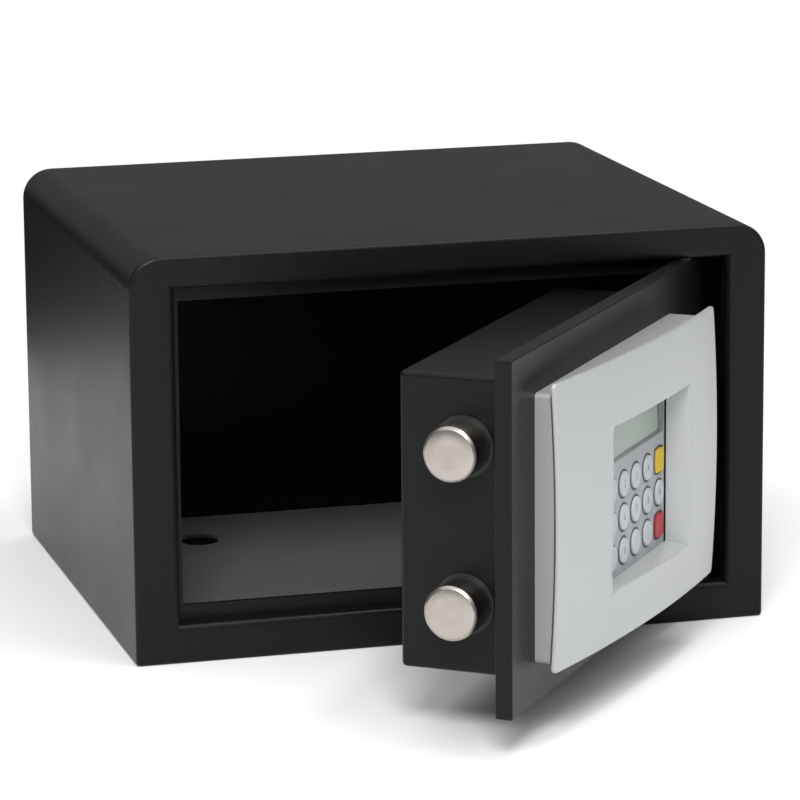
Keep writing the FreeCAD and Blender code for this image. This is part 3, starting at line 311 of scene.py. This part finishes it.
def circuit_board(name):
    """Green solder mask with tracks just visible under it."""
    shader = Shader(name, (0.015, 0.11, 0.035), 0.28)
    tracks = shader.add("ShaderNodeTexBrick")
    tracks.inputs["Scale"].default_value = 260.0
    tracks.inputs["Mortar Size"].default_value = 0.035
    tracks.inputs["Color1"].default_value = (0.013, 0.095, 0.03, 1.0)
    tracks.inputs["Color2"].default_value = (0.017, 0.12, 0.04, 1.0)
    tracks.inputs["Mortar"].default_value = (0.03, 0.2, 0.07, 1.0)
    shader.link(shader.stretched((1.0, 1.0, 1.0), (math.pi / 2, 0, 0)), tracks.inputs["Vector"])
    shader.link(tracks.outputs["Color"], shader.main.inputs["Base Color"])
    shader.bump(tracks.outputs["Fac"], 0.00003, 0.4)
    return shader.material


def cell_jacket(name):
    """Shrink-wrapped cell jacket, dark and softly glossy."""
    shader = Shader(name, (0.03, 0.03, 0.035), 0.3)
    cloud = shader.noise(200.0, 2.0)
    shader.vary_color(cloud, 0.3)
    shader.vary_roughness(cloud, 0.26, 0.36)
    shader.bump(cloud, 0.00002, 0.3)
    return shader.material


def rubber(name):
    """Black rubber with a dusty bloom."""
    shader = Shader(name, (0.012, 0.012, 0.012), 0.75, specular=0.3)
    bloom = shader.noise(300.0, 4.0)
    shader.vary_color(bloom, 0.4)
    shader.bump(bloom, 0.00004, 0.4)
    return shader.material


def clear_window(name):
    """Clear plastic window over the display, faintly tinted, with a hard coat."""
    shader = Shader(name, (0.62, 0.68, 0.62), 0.06)
    smear = shader.noise(45.0, 3.0)
    shader.vary_roughness(smear, 0.04, 0.1)
    shader.bump(smear, 0.00001, 0.2)
    shader.set("Alpha", 0.16)
    return shader.material


def display_glass(name):
    """Grey-green liquid crystal, slightly mottled."""
    shader = Shader(name, (0.33, 0.40, 0.355), 0.4)
    cloud = shader.noise(35.0, 2.0)
    pixel = shader.noise(3500.0, 1.0)
    shader.vary_color(cloud, 0.06)
    shader.vary_roughness(pixel, 0.36, 0.44)
    shader.bump(pixel, 0.00001, 0.2)
    return shader.material


paint_cabinet = powder_coat("powder coat")
paint_door = powder_coat("door powder coat")
silver = lacquered_plastic("silver lacquer", (0.405, 0.42, 0.42), metallic=0.25)
# A darker copy of the silver lacquer for the backing tray: the darker tone is painted shade.
silver_tray_painted_shade = lacquered_plastic("silver tray with painted shade", (0.33, 0.335, 0.33), roughness=0.42, metallic=0.25)
plate_grey = moulded_plastic("key plate grey", (0.30, 0.315, 0.335), roughness=0.5, grain=1500.0)
key_grey = moulded_plastic("key grey", (0.40, 0.42, 0.445), roughness=0.42, grain=1800.0, depth=0.00001)
key_yellow = moulded_plastic("key yellow", (0.54, 0.365, 0.006), roughness=0.42, grain=1800.0, depth=0.00001)
key_red = moulded_plastic("key red", (0.34, 0.010, 0.016), roughness=0.42, grain=1800.0, depth=0.00001)
key_ink = moulded_plastic("key ink", (0.15, 0.155, 0.165), roughness=0.55, grain=2500.0, depth=0.00001)
# Dark key rings: painted shadow for the shaded gap round each key.
gap_shadow_ring = moulded_plastic("key gap painted shadow", (0.05, 0.052, 0.06), roughness=0.5, grain=2000.0, depth=0.00001)
black_plastic = moulded_plastic("black plastic", (0.014, 0.014, 0.014), roughness=0.5)
acetal = moulded_plastic("natural acetal", (0.68, 0.67, 0.62), roughness=0.38, grain=500.0)
bezel_and_gap_shadow_black = moulded_plastic("display bezel and painted gap shadow", (0.012, 0.013, 0.014), roughness=0.35, grain=2000.0)
bright_steel = plated_steel("ground steel", (0.55, 0.55, 0.55), 0.22)
zinc = plated_steel("zinc plated steel", (0.50, 0.52, 0.55), 0.38, (300.0, 300.0, 300.0))
brass = plated_steel("brass", (0.62, 0.42, 0.16), 0.3)
contact_metal = plated_steel("nickel contact", (0.66, 0.64, 0.60), 0.25)
motor_can = plated_steel("motor can", (0.52, 0.52, 0.54), 0.3, (1500.0, 60.0, 1500.0))
board_green = circuit_board("solder mask")
cell_dark = cell_jacket("cell jacket")
black_rubber = rubber("black rubber")
window_clear = clear_window("display window")
crystal = display_glass("liquid crystal")
felt_charcoal = felt("charcoal felt")

NODE_MATERIALS = {
    paint_cabinet: ("cabinet_wrap", "front_frame", "floor_plate", "back_plate", "strike_bar",
                    "door_stops", "hinge_lugs"),
    paint_door: ("door_plate", "lock_case"),
    bright_steel: ("hinge_pins", "pinion_shaft", "cover_hinge_pin"),
    zinc: ("case_pillars", "bolt_carriage", "drive_rack", "motor_bracket", "board_standoffs",
           "case_screws", "carriage_screws", "panel_screws", "keypad_screws"),
    brass: ("drive_pinion",),
    acetal: ("motor_gearbox",),
    motor_can: ("drive_motor",),
    board_green: ("main_circuit_board", "keypad_board"),
    black_plastic: ("board_components", "battery_holder", "battery_cover", "cover_hinge_leaf",
                    "bolt_bushes", "rack_guide", "hinge_washers"),
    cell_dark: ("batteries",),
    contact_metal: ("battery_contacts",),
    silver_tray_painted_shade: ("panel_backing",),
    plate_grey: ("keypad_plate",),
    window_clear: ("display_window",),
    crystal: ("display_module",),
    black_rubber: ("switch_mat", "cable_grommet"),
}


def paint_nodes():
    """Gives every CAD node that stays in sight its material."""
    for material, names in NODE_MATERIALS.items():
        for name in names:
            mesh = nodes[name].data
            mesh.materials.clear()
            mesh.materials.append(material)


# ---- keypad panel ----------------------------------------------------------------
panel_low, panel_high = closed_box("fascia")
PANEL_X = (panel_low.x, panel_high.x)
PANEL_Z = (panel_low.z, panel_high.z)
PANEL_CORNER = 3.0 * MM
PANEL_WALL = 2.4 * MM
PANEL_OUT_LEFT = 12.3 * MM
PANEL_OUT_RIGHT = 26.5 * MM
PILLOW_RADIUS = 1200.0 * MM
WELL_FLOOR_OUT = 16.0 * MM
WELL_X = (-62.3 * MM, 50.7 * MM)
WELL_Z = (76.5 * MM, 170.3 * MM)
WELL_WALL = 2.2 * MM
SIDES = ("bottom", "right", "top", "left")
# How the well widens per unit of rise, how far its lip rolls out over the skin, and how far
# below the skin that roll begins.
SPREAD = {"left": 0.10, "right": 0.30, "bottom": 0.15, "top": 0.14}
ROLL = {"left": 20.0 * MM, "right": 3.0 * MM, "bottom": 2.0 * MM, "top": 1.6 * MM}
LIP_DROP = {"left": 2.4 * MM, "right": 0.7 * MM, "bottom": 0.5 * MM, "top": 0.4 * MM}
ROLL_BEND = 0.4                   # where on the roll its curve is pulled to, as a share
CORNER_REACH = 0.08               # share of a side that blends into the next side's values
EDGE_ROUND = 0.5 * MM
BACK_ROUND = 0.3 * MM
SKIRT = 1.5 * MM                  # width of the flat rim at the back of the outer edge
MIN_CORNER = 0.2 * MM
FIRST_RISE = 10.0 * MM            # starting guess for the height of the well's wall
LEAST_RISE = 1.0 * MM
RISE_ROUNDS = 25
SPOKES_PER_SIDE = 56
WALL_STEPS = 6
ROLL_STEPS = 10
SKIN_STEPS = 22
EDGE_STEPS = 5
LINING_STEPS = 6


def skin_out(x, z, inset=0.0):
    """How far the pillow skin stands in front of the door plate at one point."""
    half_x = (PANEL_X[1] - PANEL_X[0]) / 2
    half_z = (PANEL_Z[1] - PANEL_Z[0]) / 2
    tilt = math.atan((PANEL_OUT_RIGHT - PANEL_OUT_LEFT) / (2 * half_x))
    rise = (half_x ** 2 + half_z ** 2) / (2 * PILLOW_RADIUS)
    crown = (PANEL_OUT_LEFT + PANEL_OUT_RIGHT) / 2 + rise
    dx = x - sum(PANEL_X) / 2 - PILLOW_RADIUS * math.sin(tilt)
    dz = z - sum(PANEL_Z) / 2
    radius = PILLOW_RADIUS - inset
    return crown - PILLOW_RADIUS * math.cos(tilt) + math.sqrt(radius ** 2 - dx ** 2 - dz ** 2)


def on_rectangle(x, z, side, share):
    """Point at a share of one side of a rectangle, going round anticlockwise."""
    if side == "bottom":
        return x[0] + (x[1] - x[0]) * share, z[0]
    if side == "right":
        return x[1], z[0] + (z[1] - z[0]) * share
    if side == "top":
        return x[1] - (x[1] - x[0]) * share, z[1]
    return x[0], z[1] - (z[1] - z[0]) * share


def on_well(rise, side, share, margin=0.0):
    """Point of the sloped well, that far above its floor."""
    x = (WELL_X[0] - SPREAD["left"] * rise - margin, WELL_X[1] + SPREAD["right"] * rise + margin)
    z = (WELL_Z[0] - SPREAD["bottom"] * rise - margin, WELL_Z[1] + SPREAD["top"] * rise + margin)
    return on_rectangle(x, z, side, share)


def on_outline(side, share, inset):
    """Point of the panel's outline, moved inwards by the inset, with rounded corners."""
    x = (PANEL_X[0] + inset, PANEL_X[1] - inset)
    z = (PANEL_Z[0] + inset, PANEL_Z[1] - inset)
    px, pz = on_rectangle(x, z, side, share)
    corner = max(PANEL_CORNER - inset, MIN_CORNER)
    inner_x = min(max(px, x[0] + corner), x[1] - corner)
    inner_z = min(max(pz, z[0] + corner), z[1] - corner)
    away = Vector((px - inner_x, pz - inner_z))
    if away.length > corner:
        away = away.normalized() * corner
        return inner_x + away.x, inner_z + away.y
    return px, pz


def rim_rise(side, share, inset=0.0):
    """Height above the well's floor at which its wall meets the skin."""
    rise = FIRST_RISE
    for _ in range(RISE_ROUNDS):
        x, z = on_well(rise, side, share)
        rise = skin_out(x, z, inset) - WELL_FLOOR_OUT
    return rise


def mixed(side, share, table):
    """A side's value, blended near each corner with the value of the side it meets."""
    position = SIDES.index(side)
    before = table[SIDES[position - 1]]
    after = table[SIDES[(position + 1) % 4]]
    own = table[side]
    if share < CORNER_REACH:
        weight = 0.5 * (1 - share / CORNER_REACH)
        return own * (1 - weight) + before * weight
    if share > 1 - CORNER_REACH:
        weight = 0.5 * (1 - (1 - share) / CORNER_REACH)
        return own * (1 - weight) + after * weight
    return own


def panel_spoke(side, share):
    """Cross-section of the fascia from the well's lip to the outer edge and back inside."""
    points = []
    rise = rim_rise(side, share)
    roll = mixed(side, share, ROLL)
    wall_top = rise - mixed(side, share, LIP_DROP)
    for step in range(WALL_STEPS + 1):
        level = wall_top * step / WALL_STEPS
        x, z = on_well(level, side, share)
        points.append((x, WELL_FLOOR_OUT + level, z))
    wall_point = Vector(points.pop())
    rim_x, rim_z = on_well(rise, side, share)
    edge_x, edge_z = on_outline(side, share, EDGE_ROUND)
    run = math.hypot(edge_x - rim_x, edge_z - rim_z)
    start = roll / run

    def skin_point(amount):
        x = rim_x + (edge_x - rim_x) * amount
        z = rim_z + (edge_z - rim_z) * amount
        return Vector((x, skin_out(x, z), z))

    bend = skin_point(start * ROLL_BEND)
    roll_end = skin_point(start)
    for step in range(ROLL_STEPS + 1):
        t = step / ROLL_STEPS
        curve = wall_point * (1 - t) ** 2 + bend * 2 * t * (1 - t) + roll_end * t ** 2
        points.append(tuple(curve))
    for step in range(1, SKIN_STEPS + 1):
        points.append(tuple(skin_point(start + (1 - start) * step / SKIN_STEPS)))
    for step in range(1, EDGE_STEPS + 1):
        turn = math.pi / 2 * step / EDGE_STEPS
        inset = EDGE_ROUND * (1 - math.sin(turn))
        x, z = on_outline(side, share, inset)
        points.append((x, skin_out(edge_x, edge_z) - EDGE_ROUND * (1 - math.cos(turn)), z))
    x, z = on_outline(side, share, 0)
    back = skin_out(edge_x, edge_z) - PANEL_WALL
    points.append((x, back + BACK_ROUND, z))
    x, z = on_outline(side, share, BACK_ROUND)
    points.append((x, back, z))
    x, z = on_outline(side, share, SKIRT)
    points.append((x, skin_out(x, z, PANEL_WALL), z))
    inner_rise = rim_rise(side, share, PANEL_WALL)
    foot_x, foot_z = on_well(max(inner_rise, LEAST_RISE), side, share, WELL_WALL)
    start_x, start_z = x, z
    for step in range(1, LINING_STEPS + 1):
        x = start_x + (foot_x - start_x) * step / LINING_STEPS
        z = start_z + (foot_z - start_z) * step / LINING_STEPS
        points.append((x, skin_out(x, z, PANEL_WALL), z))
    x, z = on_well(0, side, share, WELL_WALL)
    points.append((x, WELL_FLOOR_OUT, z))
    return points


def build_fascia():
    """Pillow-shaped silver skin with the sloped keypad well."""
    spokes = []
    for side in SIDES:
        for step in range(SPOKES_PER_SIDE):
            share = (1 - math.cos(math.pi * step / SPOKES_PER_SIDE)) / 2
            spokes.append(panel_spoke(side, share))
    rings = [[(x, out(distance), z) for x, distance, z in ring] for ring in zip(*spokes)]
    mesh = loft("fascia_skin", rings, closed_along=True)
    piece = add_object("fascia_skin", mesh, "door", silver, swing=True)
    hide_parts("fascia")


# ---- display ---------------------------------------------------------------------
window_low, window_high = closed_box("display_window")
module_low = closed_box("display_module")[0]
# The screen stops short on the right, so the black frame there is partly printed bezel and partly painted
# shadow of the gap by the well's wall.
SCREEN_RIGHT = 42.3 * MM
SCREEN_MARGIN_X = 2.0 * MM
SCREEN_MARGIN_Z = 1.2 * MM
MASK_THICK = 0.3 * MM
MASK_CORNER = 0.5 * MM
MASK_CORNER_STEPS = 6


def frame_ring(x, z, corner, y):
    """Ring of points round a rectangle with rounded corners, facing -Y."""
    ring = []
    centres = ((x[1] - corner, z[0] + corner, -90), (x[1] - corner, z[1] - corner, 0),
               (x[0] + corner, z[1] - corner, 90), (x[0] + corner, z[0] + corner, 180))
    for cx, cz, first in centres:
        for step in range(MASK_CORNER_STEPS + 1):
            angle = math.radians(first + 90 * step / MASK_CORNER_STEPS)
            ring.append((cx + corner * math.cos(angle), y, cz + corner * math.sin(angle)))
    return ring


def build_display_bezel_and_shadow():
    """Black printed frame between the display and its window; its wide strip right of the screen is partly
    painted shadow for the gap beside the well's wall.
    """
    outer_x = (module_low.x, window_high.x)
    outer_z = (window_low.z, window_high.z)
    inner_x = (window_low.x + SCREEN_MARGIN_X, SCREEN_RIGHT)
    inner_z = (outer_z[0] + SCREEN_MARGIN_Z, outer_z[1] - SCREEN_MARGIN_Z)
    back = module_low.y
    front = back - MASK_THICK
    rings = [
        frame_ring(outer_x, outer_z, MASK_CORNER, back),
        frame_ring(outer_x, outer_z, MASK_CORNER, front),
        frame_ring(inner_x, inner_z, MASK_CORNER, front),
        frame_ring(inner_x, inner_z, MASK_CORNER, back),
    ]
    mesh = loft("display_bezel_and_shadow", rings, closed_along=True)
    add_object("display_bezel_and_shadow", mesh, "door", bezel_and_gap_shadow_black, swing=True)


# ---- keys ------------------------------------------------------------------------
KEY_STEM_RADIUS = 2.0 * MM
KEY_STEM_LENGTH = 2.0 * MM
KEY_FLANGE = 1.0 * MM
KEY_FLANGE_THICK = 1.0 * MM
KEY_DISH = 0.25 * MM
KEY_DISH_SHARES = (0.85, 0.7, 0.5, 0.3, 0.1)
KEY_ROUND = 0.7 * MM
KEY_ROUND_STEPS = 6
KEY_RING_POINTS = 64
KEY_SQUARE_CORNER = 3.0 * MM
KEY_LEAST_CORNER = 0.5 * MM
# Size of the dark ring round each key, a painted shadow for the shaded gap between key and plate.
GAP_SHADOW_IN = 0.42 * MM
GAP_SHADOW_OUT = 1.25 * MM
GAP_SHADOW_TALL = 0.35 * MM
DIGIT_SIZE = 6.2 * MM
DIGIT_HEIGHT = 0.05 * MM
SQUARE_KEYS = {"key_open": key_yellow, "key_lock": key_red}
DIGIT_KEYS = [name for name in nodes if name.startswith("key_") and name[4:].isdigit()]


def key_ring(centre, half, corner, y):
    """Ring round a key: a circle when the corner radius is the half width."""
    ring = []
    flat = half - corner
    for index in range(KEY_RING_POINTS):
        angle = 2 * math.pi * index / KEY_RING_POINTS
        x = math.cos(angle)
        z = math.sin(angle)
        reach = half
        if flat > 0:
            reach = flat / max(abs(x), abs(z)) + corner
        ring.append((centre.x + x * reach, y, centre.z + z * reach))
    return ring


def key_outline(name):
    """Box of a key, and its cap's middle, half width and corner radius."""
    low, high = closed_box(name)
    half = (high.x - low.x) / 2 - KEY_FLANGE
    corner = KEY_SQUARE_CORNER if name in SQUARE_KEYS else half
    return low, high, (low + high) / 2, half, corner


def build_key(name):
    """One key: stem, retaining flange, rounded cap and a shallow dish."""
    low, high, centre, half, corner = key_outline(name)
    top = low.y
    stem_end = high.y
    flange_back = stem_end - KEY_STEM_LENGTH
    flange_front = flange_back - KEY_FLANGE_THICK
    flange_corner = corner + KEY_FLANGE
    rings = [
        key_ring(centre, KEY_STEM_RADIUS, KEY_STEM_RADIUS, stem_end),
        key_ring(centre, KEY_STEM_RADIUS, KEY_STEM_RADIUS, flange_back),
        key_ring(centre, half + KEY_FLANGE, flange_corner, flange_back),
        key_ring(centre, half + KEY_FLANGE, flange_corner, flange_front),
        key_ring(centre, half, corner, flange_front),
    ]
    for step in range(KEY_ROUND_STEPS + 1):
        turn = math.pi / 2 * step / KEY_ROUND_STEPS
        inset = KEY_ROUND * (1 - math.cos(turn))
        y = top + KEY_ROUND * (1 - math.sin(turn))
        rings.append(key_ring(centre, half - inset, max(corner - inset, KEY_LEAST_CORNER), y))
    edge = half - KEY_ROUND
    for share in KEY_DISH_SHARES:
        y = top + KEY_DISH * (1 - share ** 2)
        inner = edge * share
        rings.append(key_ring(centre, inner, min(corner * share, inner), y))
    mesh = loft(name + "_cap", rings)
    material = SQUARE_KEYS.get(name, key_grey)
    piece = add_object(name + "_cap", mesh, name, material, swing=True)
    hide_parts(name)
    return centre, top


def build_digit(name, centre, top):
    """Printed digit that stands a hair off the key."""
    curve = bpy.data.curves.new(name + "_digit", "FONT")
    curve.body = name[4:]
    curve.size = DIGIT_SIZE
    curve.align_x = "CENTER"
    curve.align_y = "CENTER"
    curve.extrude = DIGIT_HEIGHT / 2
    holder = bpy.data.objects.new(name + "_holder", curve)
    mesh = bpy.data.meshes.new_from_object(holder)
    bpy.data.objects.remove(holder)
    bpy.data.curves.remove(curve)
    stand = Matrix.Translation((centre.x, top + KEY_DISH - DIGIT_HEIGHT / 2, centre.z))
    mesh.transform(stand @ Matrix.Rotation(math.pi / 2, 4, "X"))
    add_object(name + "_digit", mesh, name, key_ink, swing=True)


def build_key_gap_shadows(names):
    """Dark ring on the key plate round every key: a painted shadow standing in for the shade in the gap
    round each key.
    """
    bm = bmesh.new()
    foot = out(WELL_FLOOR_OUT)
    crest = out(WELL_FLOOR_OUT + GAP_SHADOW_TALL)
    section = ((GAP_SHADOW_IN, foot), (GAP_SHADOW_IN, crest), (GAP_SHADOW_OUT, crest), (GAP_SHADOW_OUT, foot))
    for name in names:
        centre, half, corner = key_outline(name)[2:]
        rings = []
        for margin, y in section:
            points = key_ring(centre, half + margin, corner + margin, y)
            rings.append([bm.verts.new(point) for point in points])
        for first, second in zip(rings, rings[1:] + rings[:1]):
            for index in range(KEY_RING_POINTS):
                after = (index + 1) % KEY_RING_POINTS
                bm.faces.new((first[index], first[after], second[after], second[index]))
    add_object("key_gap_shadows", finished(bm, "key_gap_shadows"), "door", gap_shadow_ring, swing=True)


def build_keys():
    """All fifteen keys, with a dark painted-shadow ring round each and a digit on each number key."""
    names = [name for name in sorted(nodes) if name.startswith("key_")]
    for name in names:
        centre, top = build_key(name)
        if name in DIGIT_KEYS:
            build_digit(name, centre, top)
    build_key_gap_shadows(names)


# ---- bolts -----------------------------------------------------------------------
BOLT_CHAMFER = 1.6 * MM
BOLT_SOFTEN = 0.25 * MM
BOLT_BODY_LONG = 52.0 * MM
BOLT_BODY_RINGS = (12.0 * MM, 30.0 * MM)
BOLT_NECK_RADIUS = 7.0 * MM
BOLT_PIP_RADIUS = 0.6 * MM        # the small flat that closes each end
BOLT_POINTS = 128


def build_bolt(node):
    """Round bolt turned about its own axis, with a chamfered nose."""
    low, high = closed_box(node)
    centre = (low + high) / 2
    radius = (high.z - low.z) / 2
    tip = low.x
    body_end = tip + BOLT_BODY_LONG
    neck = BOLT_NECK_RADIUS
    c = BOLT_CHAMFER
    s = BOLT_SOFTEN
    nose = [(tip, BOLT_PIP_RADIUS), (tip, radius * 0.5), (tip, radius - c - s),
            (tip + 0.3 * s, radius - c - 0.2 * s), (tip + s, radius - c + 0.8 * s),
            (tip + c - s, radius - s), (tip + c - 0.2 * s, radius - 0.25 * s), (tip + c + s, radius)]
    body = [(tip + distance, radius) for distance in BOLT_BODY_RINGS]
    tail = [(body_end - s, radius), (body_end, radius - s), (body_end, neck + s), (body_end, neck),
            (high.x - s, neck), (high.x, neck - s), (high.x, BOLT_PIP_RADIUS)]
    rings = []
    for x, r in nose + body + tail:
        ring = []
        for index in range(BOLT_POINTS):
            angle = 2 * math.pi * index / BOLT_POINTS
            ring.append((x, centre.y + r * math.cos(angle), centre.z + r * math.sin(angle)))
        rings.append(ring)
    mesh = loft(node + "_turned", rings)
    axis_point = TO_REST @ Vector((tip, centre.y, centre.z))
    material = turned_steel(node + " steel", axis_point, (0, 0, rest_angle))
    piece = add_object(node + "_turned", mesh, "bolt_work", material, swing=True)
    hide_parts(node)


# ---- felt mat --------------------------------------------------------------------
FELT_VOXEL = 2.4 * MM
FELT_WAVE = 0.35 * MM
FELT_BROAD = 22                   # waves per metre, about, of the broad and the fine unevenness
FELT_FINE = 90


def build_mat():
    """Felt mat: the CAD mat remeshed, softened at its edges and gently uneven."""
    source = nodes["floor_mat"]
    mesh = source.data.copy()
    mesh.name = "felt_mat"
    piece = bpy.data.objects.new("felt_mat", mesh)
    bpy.context.scene.collection.objects.link(piece)
    remesh = piece.modifiers.new("even", "REMESH")
    remesh.mode = "VOXEL"
    remesh.voxel_size = FELT_VOXEL
    graph = bpy.context.evaluated_depsgraph_get()
    even = bpy.data.meshes.new_from_object(piece.evaluated_get(graph))
    bpy.data.objects.remove(piece)
    low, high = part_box("floor_mat")
    for vertex in even.vertices:
        height = (vertex.co.z - low.z) / (high.z - low.z)
        wave = noise.noise(vertex.co * FELT_BROAD) + 0.5 * noise.noise(vertex.co * FELT_FINE)
        vertex.co.z -= max(height, 0) * FELT_WAVE * (1 + wave) / 2
    even.polygons.foreach_set("use_smooth", [True] * len(even.polygons))
    mat = add_object("felt_mat", even, "cabinet", felt_charcoal)
    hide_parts("floor_mat")


# ---- the pieces ------------------------------------------------------------------
paint_nodes()
build_fascia()
build_display_bezel_and_shadow()
build_keys()
build_bolt("upper_bolt")
build_bolt("lower_bolt")
build_mat()

# ---- floor, light and camera -----------------------------------------------------
FLOOR_X = (-3.0, 3.0)
FLOOR_Y = (-3.2, 0.75)
BACKGROUND = (1.0, 1.0, 1.0, 1.0)
SURROUND_STOPS = [(0.0, (0.02, 0.02, 0.021)), (0.49, (0.03, 0.03, 0.031)),
                  (0.54, (0.25, 0.252, 0.255)), (1.0, (0.10, 0.10, 0.10))]


def build_floor():
    """Plain pale floor."""
    bm = bmesh.new()
    corners = ((0, 0), (1, 0), (1, 1), (0, 1))
    bm.faces.new([bm.verts.new((FLOOR_X[x], FLOOR_Y[y], 0)) for x, y in corners])
    mesh = bpy.data.meshes.new("studio_floor")
    bm.to_mesh(mesh)
    bm.free()
    floor = bpy.data.objects.new("studio_floor", mesh)
    bpy.context.scene.collection.objects.link(floor)
    shader = Shader("pale floor", (0.86, 0.86, 0.86), 0.8, specular=0.1)
    shader.vary_color(shader.noise(3.0), 0.01)
    mesh.materials.append(shader.material)


def build_world():
    """White to the camera, and a dim studio, darker below the table's edge, for the reflections."""
    world = bpy.data.worlds.new("studio")
    world.use_nodes = True
    bpy.context.scene.world = world
    tree = world.node_tree
    surround = tree.nodes["Background"]
    place = tree.nodes.new("ShaderNodeTexCoord")
    split = tree.nodes.new("ShaderNodeSeparateXYZ")
    height = tree.nodes.new("ShaderNodeMapRange")
    height.inputs["From Min"].default_value = -1.0
    ramp = tree.nodes.new("ShaderNodeValToRGB")
    elements = ramp.color_ramp.elements
    while len(elements) < len(SURROUND_STOPS):
        elements.new(0.5)
    for element, (position, color) in zip(elements, SURROUND_STOPS):
        element.position = position
        element.color = (*color, 1.0)
    tree.links.new(place.outputs["Generated"], split.inputs["Vector"])
    tree.links.new(split.outputs["Z"], height.inputs["Value"])
    tree.links.new(height.outputs["Result"], ramp.inputs["Fac"])
    tree.links.new(ramp.outputs["Color"], surround.inputs["Color"])
    white = tree.nodes.new("ShaderNodeBackground")
    white.inputs["Color"].default_value = BACKGROUND
    path = tree.nodes.new("ShaderNodeLightPath")
    mix = tree.nodes.new("ShaderNodeMixShader")
    tree.links.new(path.outputs["Is Camera Ray"], mix.inputs["Fac"])
    tree.links.new(surround.outputs["Background"], mix.inputs[1])
    tree.links.new(white.outputs["Background"], mix.inputs[2])
    tree.links.new(mix.outputs["Shader"], tree.nodes["World Output"].inputs["Surface"])


def area_light(name, place, target, size, power):
    """Soft rectangular light aimed at a point."""
    light = bpy.data.lights.new(name, "AREA")
    light.shape = "RECTANGLE"
    light.size, light.size_y = size
    light.energy = power
    holder = bpy.data.objects.new(name, light)
    holder.location = place
    aim = (Vector(target) - Vector(place)).to_track_quat("-Z", "Y")
    holder.rotation_euler = aim.to_euler()
    bpy.context.scene.collection.objects.link(holder)


def sky_light(name, direction, spread, power):
    """Broad distant light; the direction points from the safe to the light."""
    light = bpy.data.lights.new(name, "SUN")
    light.angle = math.radians(spread)
    light.energy = power
    holder = bpy.data.objects.new(name, light)
    holder.rotation_euler = Vector(direction).to_track_quat("Z", "Y").to_euler()
    bpy.context.scene.collection.objects.link(holder)


CAMERA_PLACE = Vector((-0.69903, -2.5818, 0.706995))
CAMERA_YAW = math.radians(15.406)
CAMERA_PITCH = math.radians(-12.464)
CAMERA_ROLL = math.radians(-0.451)
LENS = 190.71
SENSOR = 36.0


def build_camera():
    """Long lens from the front left, a little above the safe."""
    data = bpy.data.cameras.new("camera")
    data.lens = LENS
    data.sensor_width = SENSOR
    data.clip_end = 50
    camera = bpy.data.objects.new("camera", data)
    forward = Vector((math.sin(CAMERA_YAW) * math.cos(CAMERA_PITCH),
                      math.cos(CAMERA_YAW) * math.cos(CAMERA_PITCH), math.sin(CAMERA_PITCH)))
    right = Vector((math.cos(CAMERA_YAW), -math.sin(CAMERA_YAW), 0))
    up = right.cross(forward)
    turned_right = right * math.cos(CAMERA_ROLL) + up * math.sin(CAMERA_ROLL)
    turned_up = up * math.cos(CAMERA_ROLL) - right * math.sin(CAMERA_ROLL)
    turn = Matrix((turned_right, turned_up, -forward)).transposed().to_4x4()
    camera.matrix_world = Matrix.Translation(CAMERA_PLACE) @ turn
    bpy.context.scene.collection.objects.link(camera)
    bpy.context.scene.camera = camera


build_floor()
build_world()
sky_light("daylight", (0.06, -0.14, 0.98), 110, 2.4)
area_light("key", (-1.5, -1.6, 1.9), (0, 0, 0.1), (1.2, 1.2), 5)
area_light("edge strip", (0.52, -0.60, 2.14), (0, -0.17, 0.2), (0.9, 0.25), 9)
area_light("front", (-0.6, -2.1, 1.75), (0.02, -0.2, 0.13), (0.8, 0.8), 44)
build_camera()
bpy.context.scene.view_settings.view_transform = "Standard"
